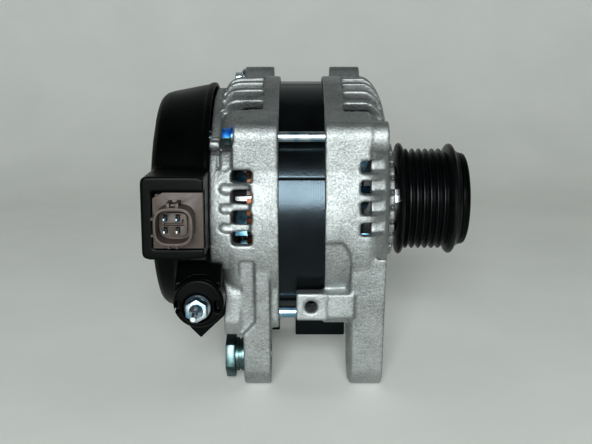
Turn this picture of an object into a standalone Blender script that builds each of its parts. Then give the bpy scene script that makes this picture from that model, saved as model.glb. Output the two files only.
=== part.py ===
"""Car alternator: a belt-driven generator with die-cast brackets, a laminated stator, a claw-pole rotor,
a rectifier and regulator under a plastic rear cover, and a ribbed pulley on a one-way clutch.

Lengths below are in millimetres. The working frame has its X axis along the shaft, towards the pulley,
-Y towards the side with the plug socket, and +Z up. An empty carries the whole alternator to the row
frame: its origin is the centre of the base of the bounding box, on the surface the feet stand on.
"""

from math import asin, atan2, cos, degrees, hypot, pi, radians, sin

import bmesh
import bpy
from mathutils import Matrix, Vector
from mathutils.geometry import convex_hull_2d

MM = 0.001
GAP = 0.3  # between pieces that rest on each other

# Belt and pulley
RIB_PITCH = 3.56
RIB_COUNT = 7
PULLEY_R = 27.2
GROOVE_R = 24.6
FLANGE_R = 30.4
FIRST_RIB_X = 57.9
PULLEY_X = (52.4, 85.2)
CAP_END_X = 89.6
CAP_R = 25.2
PULLEY_BORE_R = 17.6

# Stator and rotor
STATOR_R = 63.2
STATOR_BORE_R = 47.0
STATOR_X = (-14.7, 16.9)
SLOT_COUNT = 24
SLOT_BOTTOM_R = 57.5
SLOT_WIDTH = 5.0
ROTOR_R = 46.5
ROTOR_X = (-19.0, 21.2)
POLE_COUNT = 8
COIL_END_X = (-25.6, 27.8)

# Brackets
DRUM_R = 66.0
BRACKET_EDGE_X = (-9.7, 11.9)  # where each bracket's skirt ends, over the stator
BOLT_CIRCLE_R = 68.0
BOSS_R = 8.0
SEAT_R = STATOR_R + 0.5
CAVITY_R = 60.5
VENT_PITCH = 8.7  # degrees
VENT_WIDTH = 6.4
RIM_R = 59.6  # the rear bracket's rim, which the cover sits against
RIM_END_X = -43.2
REAR_FACE_X = -31.0  # the faces that the through bolts' heads pull on

# Angle up from -Y round the shaft, radius, and where its front boss ends
THROUGH_BOLTS = {
    "upper_near": (35.0, 2.5, 42.5),
    "top": (112.0, 2.5, 33.5),
    "lower_far": (228.5, 2.5, 33.5),
    "lower_near": (-48.5, 3.1, 42.5),
}
BOLT_HEAD_X = (-37.0, -31.3)

# Mounting ears: both stand on the floor with the far foot
FLOOR_Z = -92.1
EAR_R = 15.3
EAR_YZ = (-35.3, FLOOR_Z + EAR_R)
REAR_EAR_X = (-28.2, -14.5)
FRONT_EAR_X = (25.0, 43.0)
EAR_BORE_R = 5.2
BUSH_R = 7.8
FAR_FOOT_Y = (42.0, 60.0)
FAR_FOOT_X = (-2.0, 28.0)
REAR_FOOT_X = (-27.0, -11.4)
REAR_FOOT_Z = -89.1
FOOT_TOP_Z = -66.0
SIDE_BOSS_X = (-1.6, 26.0)
SIDE_BOSS_FACE_Y = -60.0
SIDE_HOLE_XZ = (5.8, -44.4)
SIDE_HOLE_R = 3.4

# Rear cover and what it holds
COVER_X = (-43.5, -72.7)
COVER_WALL = 1.8
HOOD_X = (-71.8, -41.4)
HOOD_Z = (-14.2, 24.1)
HOOD_FACE_Y = -86.0
PLATE_X = (-66.2, -43.4)
PLATE_Z = (-8.8, 16.9)
SOCKET_XZ = (-55.6, 3.3)
SOCKET_SIZE = 17.2
SOCKET_END_Y = -98.0
PINS_XZ = (-57.1, 3.3)
PIN_SPACING = 5.6
B_PLUS_XZ = (-47.8, -39.1)
B_PLUS_DISC_XZ = (-47.3, -37.0)
B_PLUS_FACE_Y = -79.0
B_PLUS_R = 12.0
STUD_R = 3.0
COVER_SCREWS = (50.0, 135.0, 305.0)
COVER_SCREW_R = 47.0
WELL_FLOOR_X = -62.0

# Bearings: bore radius, outer radius and X
FRONT_BEARING = (8.5, 23.5, (34.3, 48.0))
REAR_BEARING = (7.5, 17.5, (-45.7, -34.7))

# Slip rings and brushes
SLIP_RING_R = 7.2
SLIP_RINGS_X = {"inner": (-57.0, -52.0), "outer": (-65.0, -60.0)}
BRUSH_SIZE = (4.2, 6.4)
BRUSH_Z = (SLIP_RING_R + GAP, 21.5)
SPRING_TOP_Z = 33.0

# The row frame's origin, in the working frame
ORIGIN = Vector(((COVER_X[1] + CAP_END_X) / 2, (SOCKET_END_Y + DRUM_R) / 2, FLOOR_Z))


# ---------------------------------------------------------------- making shapes


def clear_scene():
    for obj in list(bpy.data.objects):
        bpy.data.objects.remove(obj)


def polar(angle, radius):
    """(y, z) at an angle in degrees that goes up from -Y, round the shaft."""
    return -radius * cos(radians(angle)), radius * sin(radians(angle))


def circle(centre, radius, count, start=0.0):
    return [
        (centre[0] + radius * cos(start + 2 * pi * i / count), centre[1] + radius * sin(start + 2 * pi * i / count))
        for i in range(count)
    ]


def hull(points):
    return [points[i] for i in convex_hull_2d(points)]


def rectangle(low, high):
    return [(low[0], low[1]), (high[0], low[1]), (high[0], high[1]), (low[0], high[1])]


def rounded_square(centre, size, radius, steps=3):
    points = []
    for quarter in range(4):
        turn = pi / 2 * quarter
        corner = Vector((size / 2 - radius, size / 2 - radius))
        corner.rotate(Matrix.Rotation(turn, 2))
        for i in range(steps + 1):
            angle = turn + pi / 2 * i / steps
            points.append((centre[0] + corner.x + radius * cos(angle), centre[1] + corner.y + radius * sin(angle)))
    return points


def sector(inner, outer, start, end, steps):
    """(y, z) outline of part of a ring between two angles."""
    angles = [start + (end - start) * i / steps for i in range(steps + 1)]
    return [polar(a, outer) for a in angles] + [polar(a, inner) for a in reversed(angles)]


def object_from(name, bm, shade=True):
    bmesh.ops.recalc_face_normals(bm, faces=bm.faces)
    bmesh.ops.transform(bm, matrix=Matrix.Scale(MM, 4), verts=bm.verts)
    mesh = bpy.data.meshes.new(name)
    bm.to_mesh(mesh)
    bm.free()
    if shade:
        mesh.shade_smooth()
        mesh.set_sharp_from_angle(angle=radians(32))
    obj = bpy.data.objects.new(name, mesh)
    bpy.context.scene.collection.objects.link(obj)
    return obj


def add_prism(bm, outline, low, high, axis="X"):
    """Adds a closed prism: the outline is in the other two axes, in X, Y, Z order."""
    place = {
        "X": lambda p, t: (t, p[0], p[1]),
        "Y": lambda p, t: (p[0], t, p[1]),
        "Z": lambda p, t: (p[0], p[1], t),
    }[axis]
    first = [bm.verts.new(place(p, low)) for p in outline]
    last = [bm.verts.new(place(p, high)) for p in outline]
    bm.faces.new(first)
    bm.faces.new(last)
    for i in range(len(outline)):
        j = (i + 1) % len(outline)
        bm.faces.new((first[i], first[j], last[j], last[i]))


def prism(name, outline, low, high, axis="X"):
    bm = bmesh.new()
    add_prism(bm, outline, low, high, axis)
    return object_from(name, bm)


def box(name, low, high):
    return prism(name, rectangle(low[:2], high[:2]), low[2], high[2], "Z")


def lathe(name, profile, segments, axis="X", centre=(0, 0, 0), start=0.0):
    """Turns a closed (along, radius) profile round an axis through centre."""
    bm = bmesh.new()
    ring = [bm.verts.new((along, 0, radius)) for along, radius in profile]
    edges = [bm.edges.new((ring[i], ring[(i + 1) % len(ring)])) for i in range(len(ring))]
    bmesh.ops.spin(
        bm, geom=ring + edges, cent=(0, 0, 0), axis=(1, 0, 0), angle=2 * pi, steps=segments, use_merge=True
    )
    bmesh.ops.remove_doubles(bm, verts=bm.verts, dist=1e-5)
    wires = [e for e in bm.edges if not e.link_faces]
    bmesh.ops.delete(bm, geom=wires, context="EDGES")
    turn = Matrix.Rotation(radians(start), 4, "X")
    if axis == "Y":
        turn = Matrix.Rotation(pi / 2, 4, "Z") @ turn
    if axis == "Z":
        turn = Matrix.Rotation(-pi / 2, 4, "Y") @ turn
    bmesh.ops.transform(bm, matrix=Matrix.Translation(centre) @ turn, verts=bm.verts)
    return object_from(name, bm)


def disc(low, high, radius):
    """Profile of a solid cylinder."""
    return [(low, 0), (high, 0), (high, radius), (low, radius)]


def tube(low, high, inner, outer):
    """Profile of a ring with square corners."""
    return [(low, inner), (high, inner), (high, outer), (low, outer)]


def boolean(target, tool, operation):
    """Joins or cuts target with tool, and removes the tool."""
    modifier = target.modifiers.new("boolean", "BOOLEAN")
    modifier.operation = operation
    modifier.solver = "EXACT"
    modifier.object = tool
    graph = bpy.context.evaluated_depsgraph_get()
    made = bpy.data.meshes.new_from_object(target.evaluated_get(graph))
    target.modifiers.clear()
    target.data = made
    made.set_sharp_from_angle(angle=radians(32))
    bpy.data.objects.remove(tool)
    return target


def join(target, *tools):
    for tool in tools:
        boolean(target, tool, "UNION")
    return target


def cut(target, *tools):
    for tool in tools:
        boolean(target, tool, "DIFFERENCE")
    return target


def hexagon(centre, across_flats, turn=0.0):
    return circle(centre, across_flats / 2 / cos(pi / 6), 6, radians(turn))


# ---------------------------------------------------------------- brackets


def bolt_centre(name):
    return polar(THROUGH_BOLTS[name][0], BOLT_CIRCLE_R)


def bracket_outline():
    """The drum with a corner at each through bolt, as one convex outline."""
    points = circle((0, 0), DRUM_R, 40)
    for name in THROUGH_BOLTS:
        points += circle(bolt_centre(name), BOSS_R, 10)
    return hull(points)


def ear_outline():
    """A leg from the drum down to the round ear."""
    return hull(circle(EAR_YZ, EAR_R, 20, -pi / 2) + [polar(-17, DRUM_R - 1), polar(-76, DRUM_R - 4)])


def vent_angles(first, last):
    """Angles of the vents, from the near side over the top, clear of the bolt bosses and the legs."""
    found = []
    angle = first
    while angle < last:
        clear = [abs(angle - bolt) > 10.4 for bolt, _, _ in THROUGH_BOLTS.values()]
        if all(clear):
            found.append(angle)
        angle += VENT_PITCH
    return found


def vents(name, profile, angles):
    """One cutter of separate vents: an (x, radius) profile as wide as a vent, at each angle."""
    bm = bmesh.new()
    for angle in angles:
        y, z = polar(angle, 1.0)
        across = Vector((0, -z, y)) * VENT_WIDTH / 2
        sides = []
        for side in (-1, 1):
            points = [Vector((x, y * r, z * r)) + across * side for x, r in profile]
            sides.append([bm.verts.new(p) for p in points])
        bm.faces.new(sides[0])
        bm.faces.new(sides[1])
        for i in range(len(profile)):
            j = (i + 1) % len(profile)
            bm.faces.new((sides[0][i], sides[0][j], sides[1][j], sides[1][i]))
    return object_from(name, bm)


def bolt_holes(low, high):
    bm = bmesh.new()
    for angle, radius, _ in THROUGH_BOLTS.values():
        add_prism(bm, circle(polar(angle, BOLT_CIRCLE_R), radius + 0.5, 12), low, high)
    return object_from("bolt_holes", bm)


def head_pockets():
    """Room for the bolts' heads, cut in the rear bracket's shoulder."""
    bm = bmesh.new()
    for name in THROUGH_BOLTS:
        add_prism(bm, circle(bolt_centre(name), 6.4, 16, 0.1), -60, REAR_FACE_X)
    return object_from("head_pockets", bm)


def ellipse(centre, along, radial, start, end, steps):
    """(x, radius) points on a quarter of an ellipse, angles in degrees from the radial direction."""
    angles = [radians(start + (end - start) * i / steps) for i in range(steps + 1)]
    return [(centre[0] + along * sin(a), centre[1] + radial * cos(a)) for a in angles]


def make_rear_bracket():
    edge = BRACKET_EDGE_X[0]
    bracket = prism("rear_bracket", bracket_outline(), REAR_FACE_X, edge)
    shoulder = ellipse((-29.7, RIM_R - 0.8), -8.4, DRUM_R - RIM_R + 0.6, 0, 82, 4)
    dome = lathe("dome", [(-20, 0), (-20, DRUM_R - 0.2), *shoulder, (-38.1, RIM_R), (RIM_END_X, RIM_R), (RIM_END_X, 0)], 40)
    leg = prism("leg", ear_outline(), *REAR_EAR_X)
    web = prism("web", hull([(-52, -22), (-55, -40), (-54, -54), (-51.5, -61), (-44, -61.5), (-16, -56), (-30, -15)]), -37.8, -27)
    low, high = FAR_FOOT_Y
    foot = prism("foot", [(low - 1.5, FOOT_TOP_Z), (high + 1.5, FOOT_TOP_Z), (high + 3, -40), (low - 3, -40)], *REAR_FOOT_X)
    join(bracket, dome, leg, web, foot)
    cavity = lathe(
        "cavity",
        [(0, 0), (0, SEAT_R), (STATOR_X[0] - GAP, SEAT_R), (STATOR_X[0] - GAP, CAVITY_R), (-27, CAVITY_R), (-33.9, 55), (-33.9, 0)],
        40,
        start=1.7,
    )
    behind = lathe("behind", tube(-50, -38.0, 23, 56.4), 32, start=3.1)
    cut(bracket, cavity, behind)
    hub_bore, hub_r, hub_x = REAR_BEARING
    join(bracket, lathe("hub", disc(-46.9, -33.5, 23.4), 32))
    cut(
        bracket,
        lathe("bearing_seat", disc(hub_x[0] - GAP, -30, hub_r + GAP), 32, start=4.3),
        lathe("slip_ring_way", disc(-50, -30, 12), 24, start=2.2),
    )
    angles = vent_angles(-8.0, 214)
    through = [(-32.6, 50), (-22.5, 50), (-22.5, 90), (-39.5, 90), (-39.5, RIM_R), (-32.6, RIM_R)]
    cut(bracket, vents("side_vents", through, angles))
    bm = bmesh.new()
    for i in range(6):
        add_prism(bm, sector(27, 52, 60 * i - 18, 60 * i + 18, 4), -42, -32)
    cut(bracket, object_from("end_vents", bm))
    cut(bracket, head_pockets(), bolt_holes(-60, 0))
    cut(bracket, prism("ear_bore", circle(EAR_YZ, BUSH_R + GAP, 20), -60, 0))
    bm = bmesh.new()
    for angle in COVER_SCREWS:
        add_prism(bm, circle(polar(angle, COVER_SCREW_R), 2.5 + GAP, 12), -42, -30)
    posts = bmesh.new()
    for angle in COVER_SCREWS:
        add_prism(posts, circle(polar(angle, COVER_SCREW_R), 5.5, 12), -41.0, -34.2)
    join(bracket, object_from("posts", posts))
    cut(bracket, object_from("stud_holes", bm))
    return bracket


def make_front_bracket():
    edge = BRACKET_EDGE_X[1]
    bracket = prism("front_bracket", bracket_outline(), edge, 31.0)
    crown = ellipse((32.0, 38.0), 13.6, DRUM_R - 0.1 - 38.0, 0, 84, 6)
    dome = lathe("dome", [(20, 0), (20, DRUM_R - 0.1), *crown, (45.8, 30.5), (49.8, 30.5), (49.8, 0)], 40)
    join(bracket, dome)
    for name, (_, _, end) in THROUGH_BOLTS.items():
        join(bracket, prism("boss", circle(bolt_centre(name), BOSS_R - 0.6, 16), 25, end))
    leg = prism("leg", ear_outline(), *FRONT_EAR_X)
    arm = [(-60, -38.4), (-60, -50.5), (-52, -56.5), (-30, -56.5), (-30, -38.4)]
    side_boss = prism("side_boss", arm, *SIDE_BOSS_X)
    low, high = FAR_FOOT_Y
    foot = prism("foot", [(low - 1.5, FOOT_TOP_Z), (high + 1.5, FOOT_TOP_Z), (high + 3, -40), (low - 3, -40)], *FAR_FOOT_X)
    join(bracket, leg, side_boss, foot)
    cavity = lathe(
        "cavity",
        [(-10, 0), (-10, SEAT_R), (STATOR_X[1] + GAP, SEAT_R),
         (STATOR_X[1] + GAP, CAVITY_R), (34.6, CAVITY_R), (34.6, 53), (40.2, 48), (40.2, 29.5), (32.6, 29.5), (32.6, 0)],
        40,
        start=1.7,
    )
    cut(bracket, cavity)
    bore, outer, seat_x = FRONT_BEARING
    cut(
        bracket,
        lathe("bearing_seat", disc(30, seat_x[1] + GAP, outer + GAP), 32, start=4.3),
        lathe("shaft_way", disc(30, 60, 14), 24, start=2.2),
    )
    near = [a for a in vent_angles(-3.8, 214) if a < 30]
    over = [a for a in vent_angles(-3.8, 204) if a > 30]
    window = [(29.2, 50), (34.6, 50), (34.6, 57), (46, 57), (46, 90), (29.2, 90)]
    slot = [(22.0, 50), (34.6, 50), (34.6, 55.5), (47, 55.5), (47, 90), (22.0, 90)]
    cut(bracket, vents("windows", window, near), vents("slots", slot, over))
    bm = bmesh.new()
    for i in range(12):
        add_prism(bm, sector(33.5, 47.5, 30 * i - 9, 30 * i + 9, 2), 37, 50)
    cut(bracket, object_from("face_vents", bm))
    cut(bracket, bolt_holes(-10, 60))
    cut(bracket, prism("ear_bore", circle(EAR_YZ, EAR_BORE_R, 20), 0, 60))
    cut(bracket, prism("side_hole", circle(SIDE_HOLE_XZ, SIDE_HOLE_R, 16), -70, -20, "Y"))
    bm = bmesh.new()
    for i in range(3):
        add_prism(bm, circle(polar(120 * i + 30, 27.0), 1.7, 8), 30, 40)
    cut(bracket, object_from("screw_holes", bm))
    return bracket


# ---------------------------------------------------------------- stator


def make_stator_core():
    core = lathe("stator_core", tube(*STATOR_X, STATOR_BORE_R, STATOR_R), 72)
    bm = bmesh.new()
    for i in range(SLOT_COUNT):
        angle = 360 / SLOT_COUNT * (i + 0.5)
        y, z = polar(angle, 1.0)
        across = Vector((-z, y)) * SLOT_WIDTH / 2
        along = Vector((y, z))
        outline = [along * r + across * s for r, s in ((44, -1), (SLOT_BOTTOM_R, -1), (SLOT_BOTTOM_R, 1), (44, 1))]
        add_prism(bm, [tuple(p) for p in outline], -30, 30)
    return cut(core, object_from("slots", bm))


def make_stator_winding():
    """Hairpin bars through every slot, bent over into a ring of coil ends at each side."""
    low, high = COIL_END_X
    winding = lathe("stator_winding", [(low, 50), (low, 56), (STATOR_X[0] - 1.2, 57.2), (STATOR_X[0] - 1.2, 48.6)], 32)
    far = lathe("far_ring", [(STATOR_X[1] + 1.2, 48.6), (STATOR_X[1] + 1.2, 57.2), (high, 56), (high, 50)], 32)
    bm = bmesh.new()
    for i in range(SLOT_COUNT):
        angle = 360 / SLOT_COUNT * (i + 0.5)
        y, z = polar(angle, 1.0)
        across = Vector((-z, y)) * (SLOT_WIDTH / 2 - GAP)
        along = Vector((y, z))
        outline = [along * r + across * s for r, s in ((50, -1), (56.5, -1), (56.5, 1), (50, 1))]
        add_prism(bm, [tuple(p) for p in outline], STATOR_X[0] - 3, STATOR_X[1] + 3)
    bars = object_from("bars", bm)
    return join(winding, bars, far)


def make_through_bolt(name, angle, radius, end):
    centre = polar(angle, BOLT_CIRCLE_R)
    low, high = BOLT_HEAD_X
    bolt = prism(f"through_bolt_{name}", circle(centre, radius, 12), low + 1, end + 0.4)
    head = prism("head", hexagon(centre, 8.0, angle), low, high - 1.0)
    flange = prism("flange", circle(centre, 4.9, 16), high - 1.6, high)
    return join(bolt, head, flange)


# ---------------------------------------------------------------- rotor


def make_claw_pole(name, outer_x, side):
    """A steel claw pole: a root disc with fingers that reach over the field coil. side is +1 towards +X."""
    middle = sum(ROTOR_X) / 2
    root = outer_x + side * 10.5
    disc_low, disc_high = sorted((outer_x, root))
    points = []
    offset = 0 if side > 0 else 180 / POLE_COUNT
    lobe = ROTOR_R - 0.5
    for i in range(POLE_COUNT):
        angle = 360 / POLE_COUNT * i + offset
        points += [polar(angle + a, r) for a, r in ((-20, 33), (-13, lobe), (-5, lobe), (5, lobe), (13, lobe), (20, 33))]
    pole = prism(name, points, disc_low, disc_high)
    core_low, core_high = sorted((root - side, middle - side * GAP / 2))
    join(pole, lathe("pole_core", disc(core_low, core_high, 23), 32))
    tip = outer_x + side * 36.5
    bm = bmesh.new()
    for i in range(POLE_COUNT):
        angle = 360 / POLE_COUNT * i + offset
        corners = []
        for x, half, inner in ((outer_x + side * 6, 11.0, 38.5), (tip, 4.5, 42.5)):
            corners.append(
                [Vector((x, *polar(angle + a, r))) for a, r in ((-half, inner), (-half, ROTOR_R), (0, ROTOR_R), (half, ROTOR_R), (half, inner))]
            )
        rings = [[bm.verts.new(p) for p in ring] for ring in corners]
        bm.faces.new(rings[0])
        bm.faces.new(rings[1])
        for k in range(5):
            m = (k + 1) % 5
            bm.faces.new((rings[0][k], rings[0][m], rings[1][m], rings[1][k]))
    join(pole, object_from("fingers", bm))
    return cut(pole, lathe("bore", disc(-60, 60, 9.5 + GAP), 24))


def make_fan(name, plate_x, tip_x):
    """A pressed-steel fan: a disc with slanted blades that stand away from the rotor."""
    side = 1 if tip_x > plate_x else -1
    low, high = sorted((plate_x, plate_x + side * 1.4))
    fan = lathe(name, tube(low, high, 12, 43.5), 32)
    bm = bmesh.new()
    blades = 11
    low, high = sorted((plate_x + side * 0.6, tip_x))
    for i in range(blades):
        angle = 360 / blades * i
        inner = Vector(polar(angle, 32))
        outer = Vector(polar(angle + 17 * side, 43))
        across = (outer - inner).orthogonal().normalized() * 0.7
        add_prism(bm, [tuple(inner + across), tuple(outer + across), tuple(outer - across), tuple(inner - across)], low, high)
    return join(fan, object_from("blades", bm))


def make_shaft():
    steps = [
        (-66.6, 0), (-66.6, 4.6), (-49.5, 4.6), (-49.5, 7.2), (-33.5, 7.2), (-33.5, 9.5), (24.0, 9.5), (24.0, 11.2),
        (33.9, 11.2), (33.9, 8.2), (80.0, 8.2), (80.0, 0),
    ]
    return lathe("rotor_shaft", steps, 24)


def make_bearing(name, bearing, balls, ball_r):
    """Outer race, inner race, and the balls joined by their cage."""
    bore, outer, (low, high) = bearing
    middle = (low + high) / 2
    pitch = (bore + outer) / 2
    land = ball_r - 0.3
    groove = ball_r + 0.75
    outer_race = lathe(
        f"{name}_outer",
        [(low, pitch + land), (middle - ball_r * 0.8, pitch + land), (middle, pitch + groove),
         (middle + ball_r * 0.8, pitch + land), (high, pitch + land), (high, outer), (low, outer)],
        28,
    )
    inner_race = lathe(
        f"{name}_inner",
        [(low, bore), (high, bore), (high, pitch - land), (middle + ball_r * 0.8, pitch - land),
         (middle, pitch - groove), (middle - ball_r * 0.8, pitch - land), (low, pitch - land)],
        24,
    )
    cage = lathe(f"{name}_balls", tube(middle - 1.0, middle + 1.0, pitch - 1.1, pitch + 1.1), 2 * balls)
    bm = bmesh.new()
    for i in range(balls):
        y, z = polar(360 / balls * i, pitch)
        place = Matrix.Translation((middle, y, z))
        bmesh.ops.create_uvsphere(bm, u_segments=7, v_segments=4, radius=ball_r, matrix=place)
    join(cage, object_from("balls", bm))
    return outer_race, inner_race, cage


# ---------------------------------------------------------------- pulley


def make_pulley():
    low, high = PULLEY_X
    last_rib = FIRST_RIB_X + RIB_PITCH * (RIB_COUNT - 2)
    profile = [(low, PULLEY_BORE_R), (low, 27.0), (low + 0.3, FLANGE_R), (low + 1.8, FLANGE_R - 0.6)]
    for i in range(RIB_COUNT):
        valley = FIRST_RIB_X + RIB_PITCH * (i - 0.5)
        profile.append((valley, GROOVE_R))
        if i < RIB_COUNT - 1:
            profile.append((valley + RIB_PITCH / 2, PULLEY_R))
    profile += [(last_rib + 4.2, FLANGE_R - 0.5), (last_rib + 6.2, FLANGE_R - 0.5), (high, CAP_R + 0.6), (high, PULLEY_BORE_R)]
    return lathe("pulley", profile, 32)


def make_pulley_cap():
    low = PULLEY_X[1] + GAP
    return lathe("pulley_cap", [(low, 0), (low, CAP_R), (CAP_END_X - 1.2, CAP_R), (CAP_END_X, CAP_R - 1.4), (CAP_END_X, 0)], 32)


# ---------------------------------------------------------------- rear cover and electrics


def make_rear_cover():
    open_x, back_x = COVER_X
    body = [(open_x, 0), (open_x, 62.8), (open_x - 3.0, 62.8), (open_x - 3.4, 61.9), (back_x + 6, 58.2),
            (back_x + 3.0, 57.2), (back_x + 0.8, 55.2), (back_x, 52.4), (back_x, 0)]
    cover = lathe("rear_cover", body, 40)
    low, high = HOOD_X
    hood = box("hood", (low, HOOD_FACE_Y, HOOD_Z[0]), (high, -61.6, HOOD_Z[1]))
    neck = box("neck", (low, -62.5, HOOD_Z[0]), (open_x - 0.2, -40, HOOD_Z[1]))
    lobe = box("lobe", (-57, -61.0, -48), (open_x - 0.2, -44, -30))
    join(cover, hood, neck, lobe)
    wall = COVER_WALL
    inside = [(open_x + 1, 0), (open_x + 1, 60.4), (open_x - 3.4, 60.2), (back_x + 6, 58.0 - wall),
              (back_x + wall, 52.4), (back_x + wall, 0)]
    cut(cover, lathe("inside", inside, 28))
    cut(cover, box("hood_inside", (low + wall, HOOD_FACE_Y + 4.4, HOOD_Z[0] + wall), (open_x - 2.2, -40, HOOD_Z[1] - wall)))
    window = (PLATE_X[0] - GAP, HOOD_FACE_Y - 1, PLATE_Z[0] - GAP), (PLATE_X[1] + GAP, HOOD_FACE_Y + 5, PLATE_Z[1] + GAP)
    cut(cover, box("hood_window", *window))
    cut(cover, prism("b_plus_hole", circle(B_PLUS_XZ, STUD_R + 0.7, 12), -70, -30, "Y"))
    wells = bmesh.new()
    pockets = bmesh.new()
    holes = bmesh.new()
    for angle in COVER_SCREWS:
        centre = polar(angle, COVER_SCREW_R)
        add_prism(wells, circle(centre, 9.0, 20), back_x + 1.0, WELL_FLOOR_X + 1.6)
        add_prism(pockets, circle(centre, 7.2, 20), back_x - 1.0, WELL_FLOOR_X)
        add_prism(holes, circle(centre, 2.9, 12), WELL_FLOOR_X - 2, -50)
    join(cover, object_from("wells", wells))
    cut(cover, object_from("pockets", pockets), object_from("holes", holes))
    slots = bmesh.new()
    for start, end in ((74, 118), (152, 196), (214, 284), (-36, 30)):
        count = int((end - start) // 11)
        for i in range(count + 1):
            angle = start + 11 * i
            y, z = polar(angle, 1.0)
            across = Vector((-z, y)) * 2.0
            along = Vector((y, z))
            outline = [along * r + across * s for r, s in ((22, -1), (42, -1), (42, 1), (22, 1))]
            add_prism(slots, [tuple(p) for p in outline], back_x - 1, back_x + 4)
    return cut(cover, object_from("louvres", slots))


def make_cover_screw(index, angle):
    centre = polar(angle, COVER_SCREW_R)
    screw = prism(f"cover_screw_{index}", circle(centre, 2.5, 12), WELL_FLOOR_X - 2.5, -36.5)
    flange = prism("flange", circle(centre, 5.8, 16), WELL_FLOOR_X - 1.8, WELL_FLOOR_X - GAP)
    return join(screw, flange, prism("head", hexagon(centre, 8.0, angle), WELL_FLOOR_X - 6.0, WELL_FLOOR_X - 1.0))


def make_connector():
    """The regulator's plug socket: a plate in the cover's window, with an oval shell round four pins."""
    plate = box("regulator_connector", (PLATE_X[0], HOOD_FACE_Y - 0.4, PLATE_Z[0]), (PLATE_X[1], -82.0, PLATE_Z[1]))
    shell = prism("shell", rounded_square(SOCKET_XZ, SOCKET_SIZE, 5.4, 4), SOCKET_END_Y, -84, "Y")
    throat = box("throat", (-65.5, -82.6, -7.6), (-47.6, -57.2, 15.6))
    join(plate, shell, throat)
    pocket = prism("pocket", rounded_square(SOCKET_XZ, SOCKET_SIZE - 2.6, 4.2, 4), SOCKET_END_Y - 1, -87.0, "Y")
    cut(plate, pocket)
    bm = bmesh.new()
    for x, z in pin_places():
        add_prism(bm, rectangle((x - 0.9, z - 1.4), (x + 0.9, z + 1.4)), -90, -83, "Y")
    return cut(plate, object_from("pin_ways", bm))


def pin_places():
    half = PIN_SPACING / 2
    return [(PINS_XZ[0] + i * half, PINS_XZ[1] + j * half) for j in (1, -1) for i in (-1, 1)]


def make_pin(index, place):
    x, z = place
    return box(f"connector_pin_{index}", (x - 0.5, -95.0, z - 1.0), (x + 0.5, -83.3, z + 1.0))


def make_regulator():
    regulator = box("voltage_regulator", (-67.5, -56.8, -8.0), (-47.5, -27.0, 16.0))
    return regulator


def make_brush_holder():
    holder = box("brush_holder", (-68.4, -6.4, 9.4), (-48.8, 6.4, 35.6))
    bm = bmesh.new()
    for low, high in SLIP_RINGS_X.values():
        middle = (low + high) / 2
        half = BRUSH_SIZE[0] / 2 + GAP
        outline = rectangle((middle - half, -BRUSH_SIZE[1] / 2 - GAP), (middle + half, BRUSH_SIZE[1] / 2 + GAP))
        add_prism(bm, outline, 5, SPRING_TOP_Z + GAP, "Z")
    return cut(holder, object_from("channels", bm))


def make_brush(name, span):
    middle = sum(span) / 2
    half_x, half_y = BRUSH_SIZE[0] / 2, BRUSH_SIZE[1] / 2
    return box(f"brush_{name}", (middle - half_x, -half_y, BRUSH_Z[0]), (middle + half_x, half_y, BRUSH_Z[1]))


def make_brush_spring(name, span):
    """A coil of square wire between the brush and the roof of its channel."""
    middle = sum(span) / 2
    turns, steps, radius, wire = 5, 6, 1.45, 0.3
    low, high = BRUSH_Z[1] + GAP, SPRING_TOP_Z
    bm = bmesh.new()
    rings = []
    total = turns * steps
    for i in range(total + 1):
        angle = 2 * pi * i / steps
        z = low + wire + (high - low - 2 * wire) * i / total
        ring = []
        for dr, dz in ((-wire, -wire), (wire, -wire), (wire, wire), (-wire, wire)):
            r = radius + dr
            ring.append(bm.verts.new((middle + r * cos(angle), r * sin(angle), z + dz)))
        rings.append(ring)
    for a, b in zip(rings, rings[1:]):
        for k in range(4):
            m = (k + 1) % 4
            bm.faces.new((a[k], a[m], b[m], b[k]))
    bm.faces.new(rings[0])
    bm.faces.new(rings[-1])
    return object_from(f"brush_spring_{name}", bm)


def make_heatsink(name, low, high, start):
    plate = prism(name, sector(25, 52, start, 288, 10), low, high)
    bm = bmesh.new()
    for angle in DIODES[name]:
        add_prism(bm, circle(polar(angle, 39), 6.0 + GAP, 16), low - 5, high + 5)
    return cut(plate, object_from("diode_holes", bm))


DIODES = {"heatsink_positive": (176, 216, 256), "heatsink_negative": (196, 236, 276)}
POSITIVE_X = (-58.5, -55.0)
NEGATIVE_X = (-49.0, -46.0)


def make_diode(name, index, angle, span):
    """A press-fit diode: a can through the plate, with a lead towards the other plate."""
    centre = polar(angle, 39)
    low, high = span
    return prism(f"diode_{name}_{index}", circle(centre, 6.0, 16), low - 1.2, high + 1.2)


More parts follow.
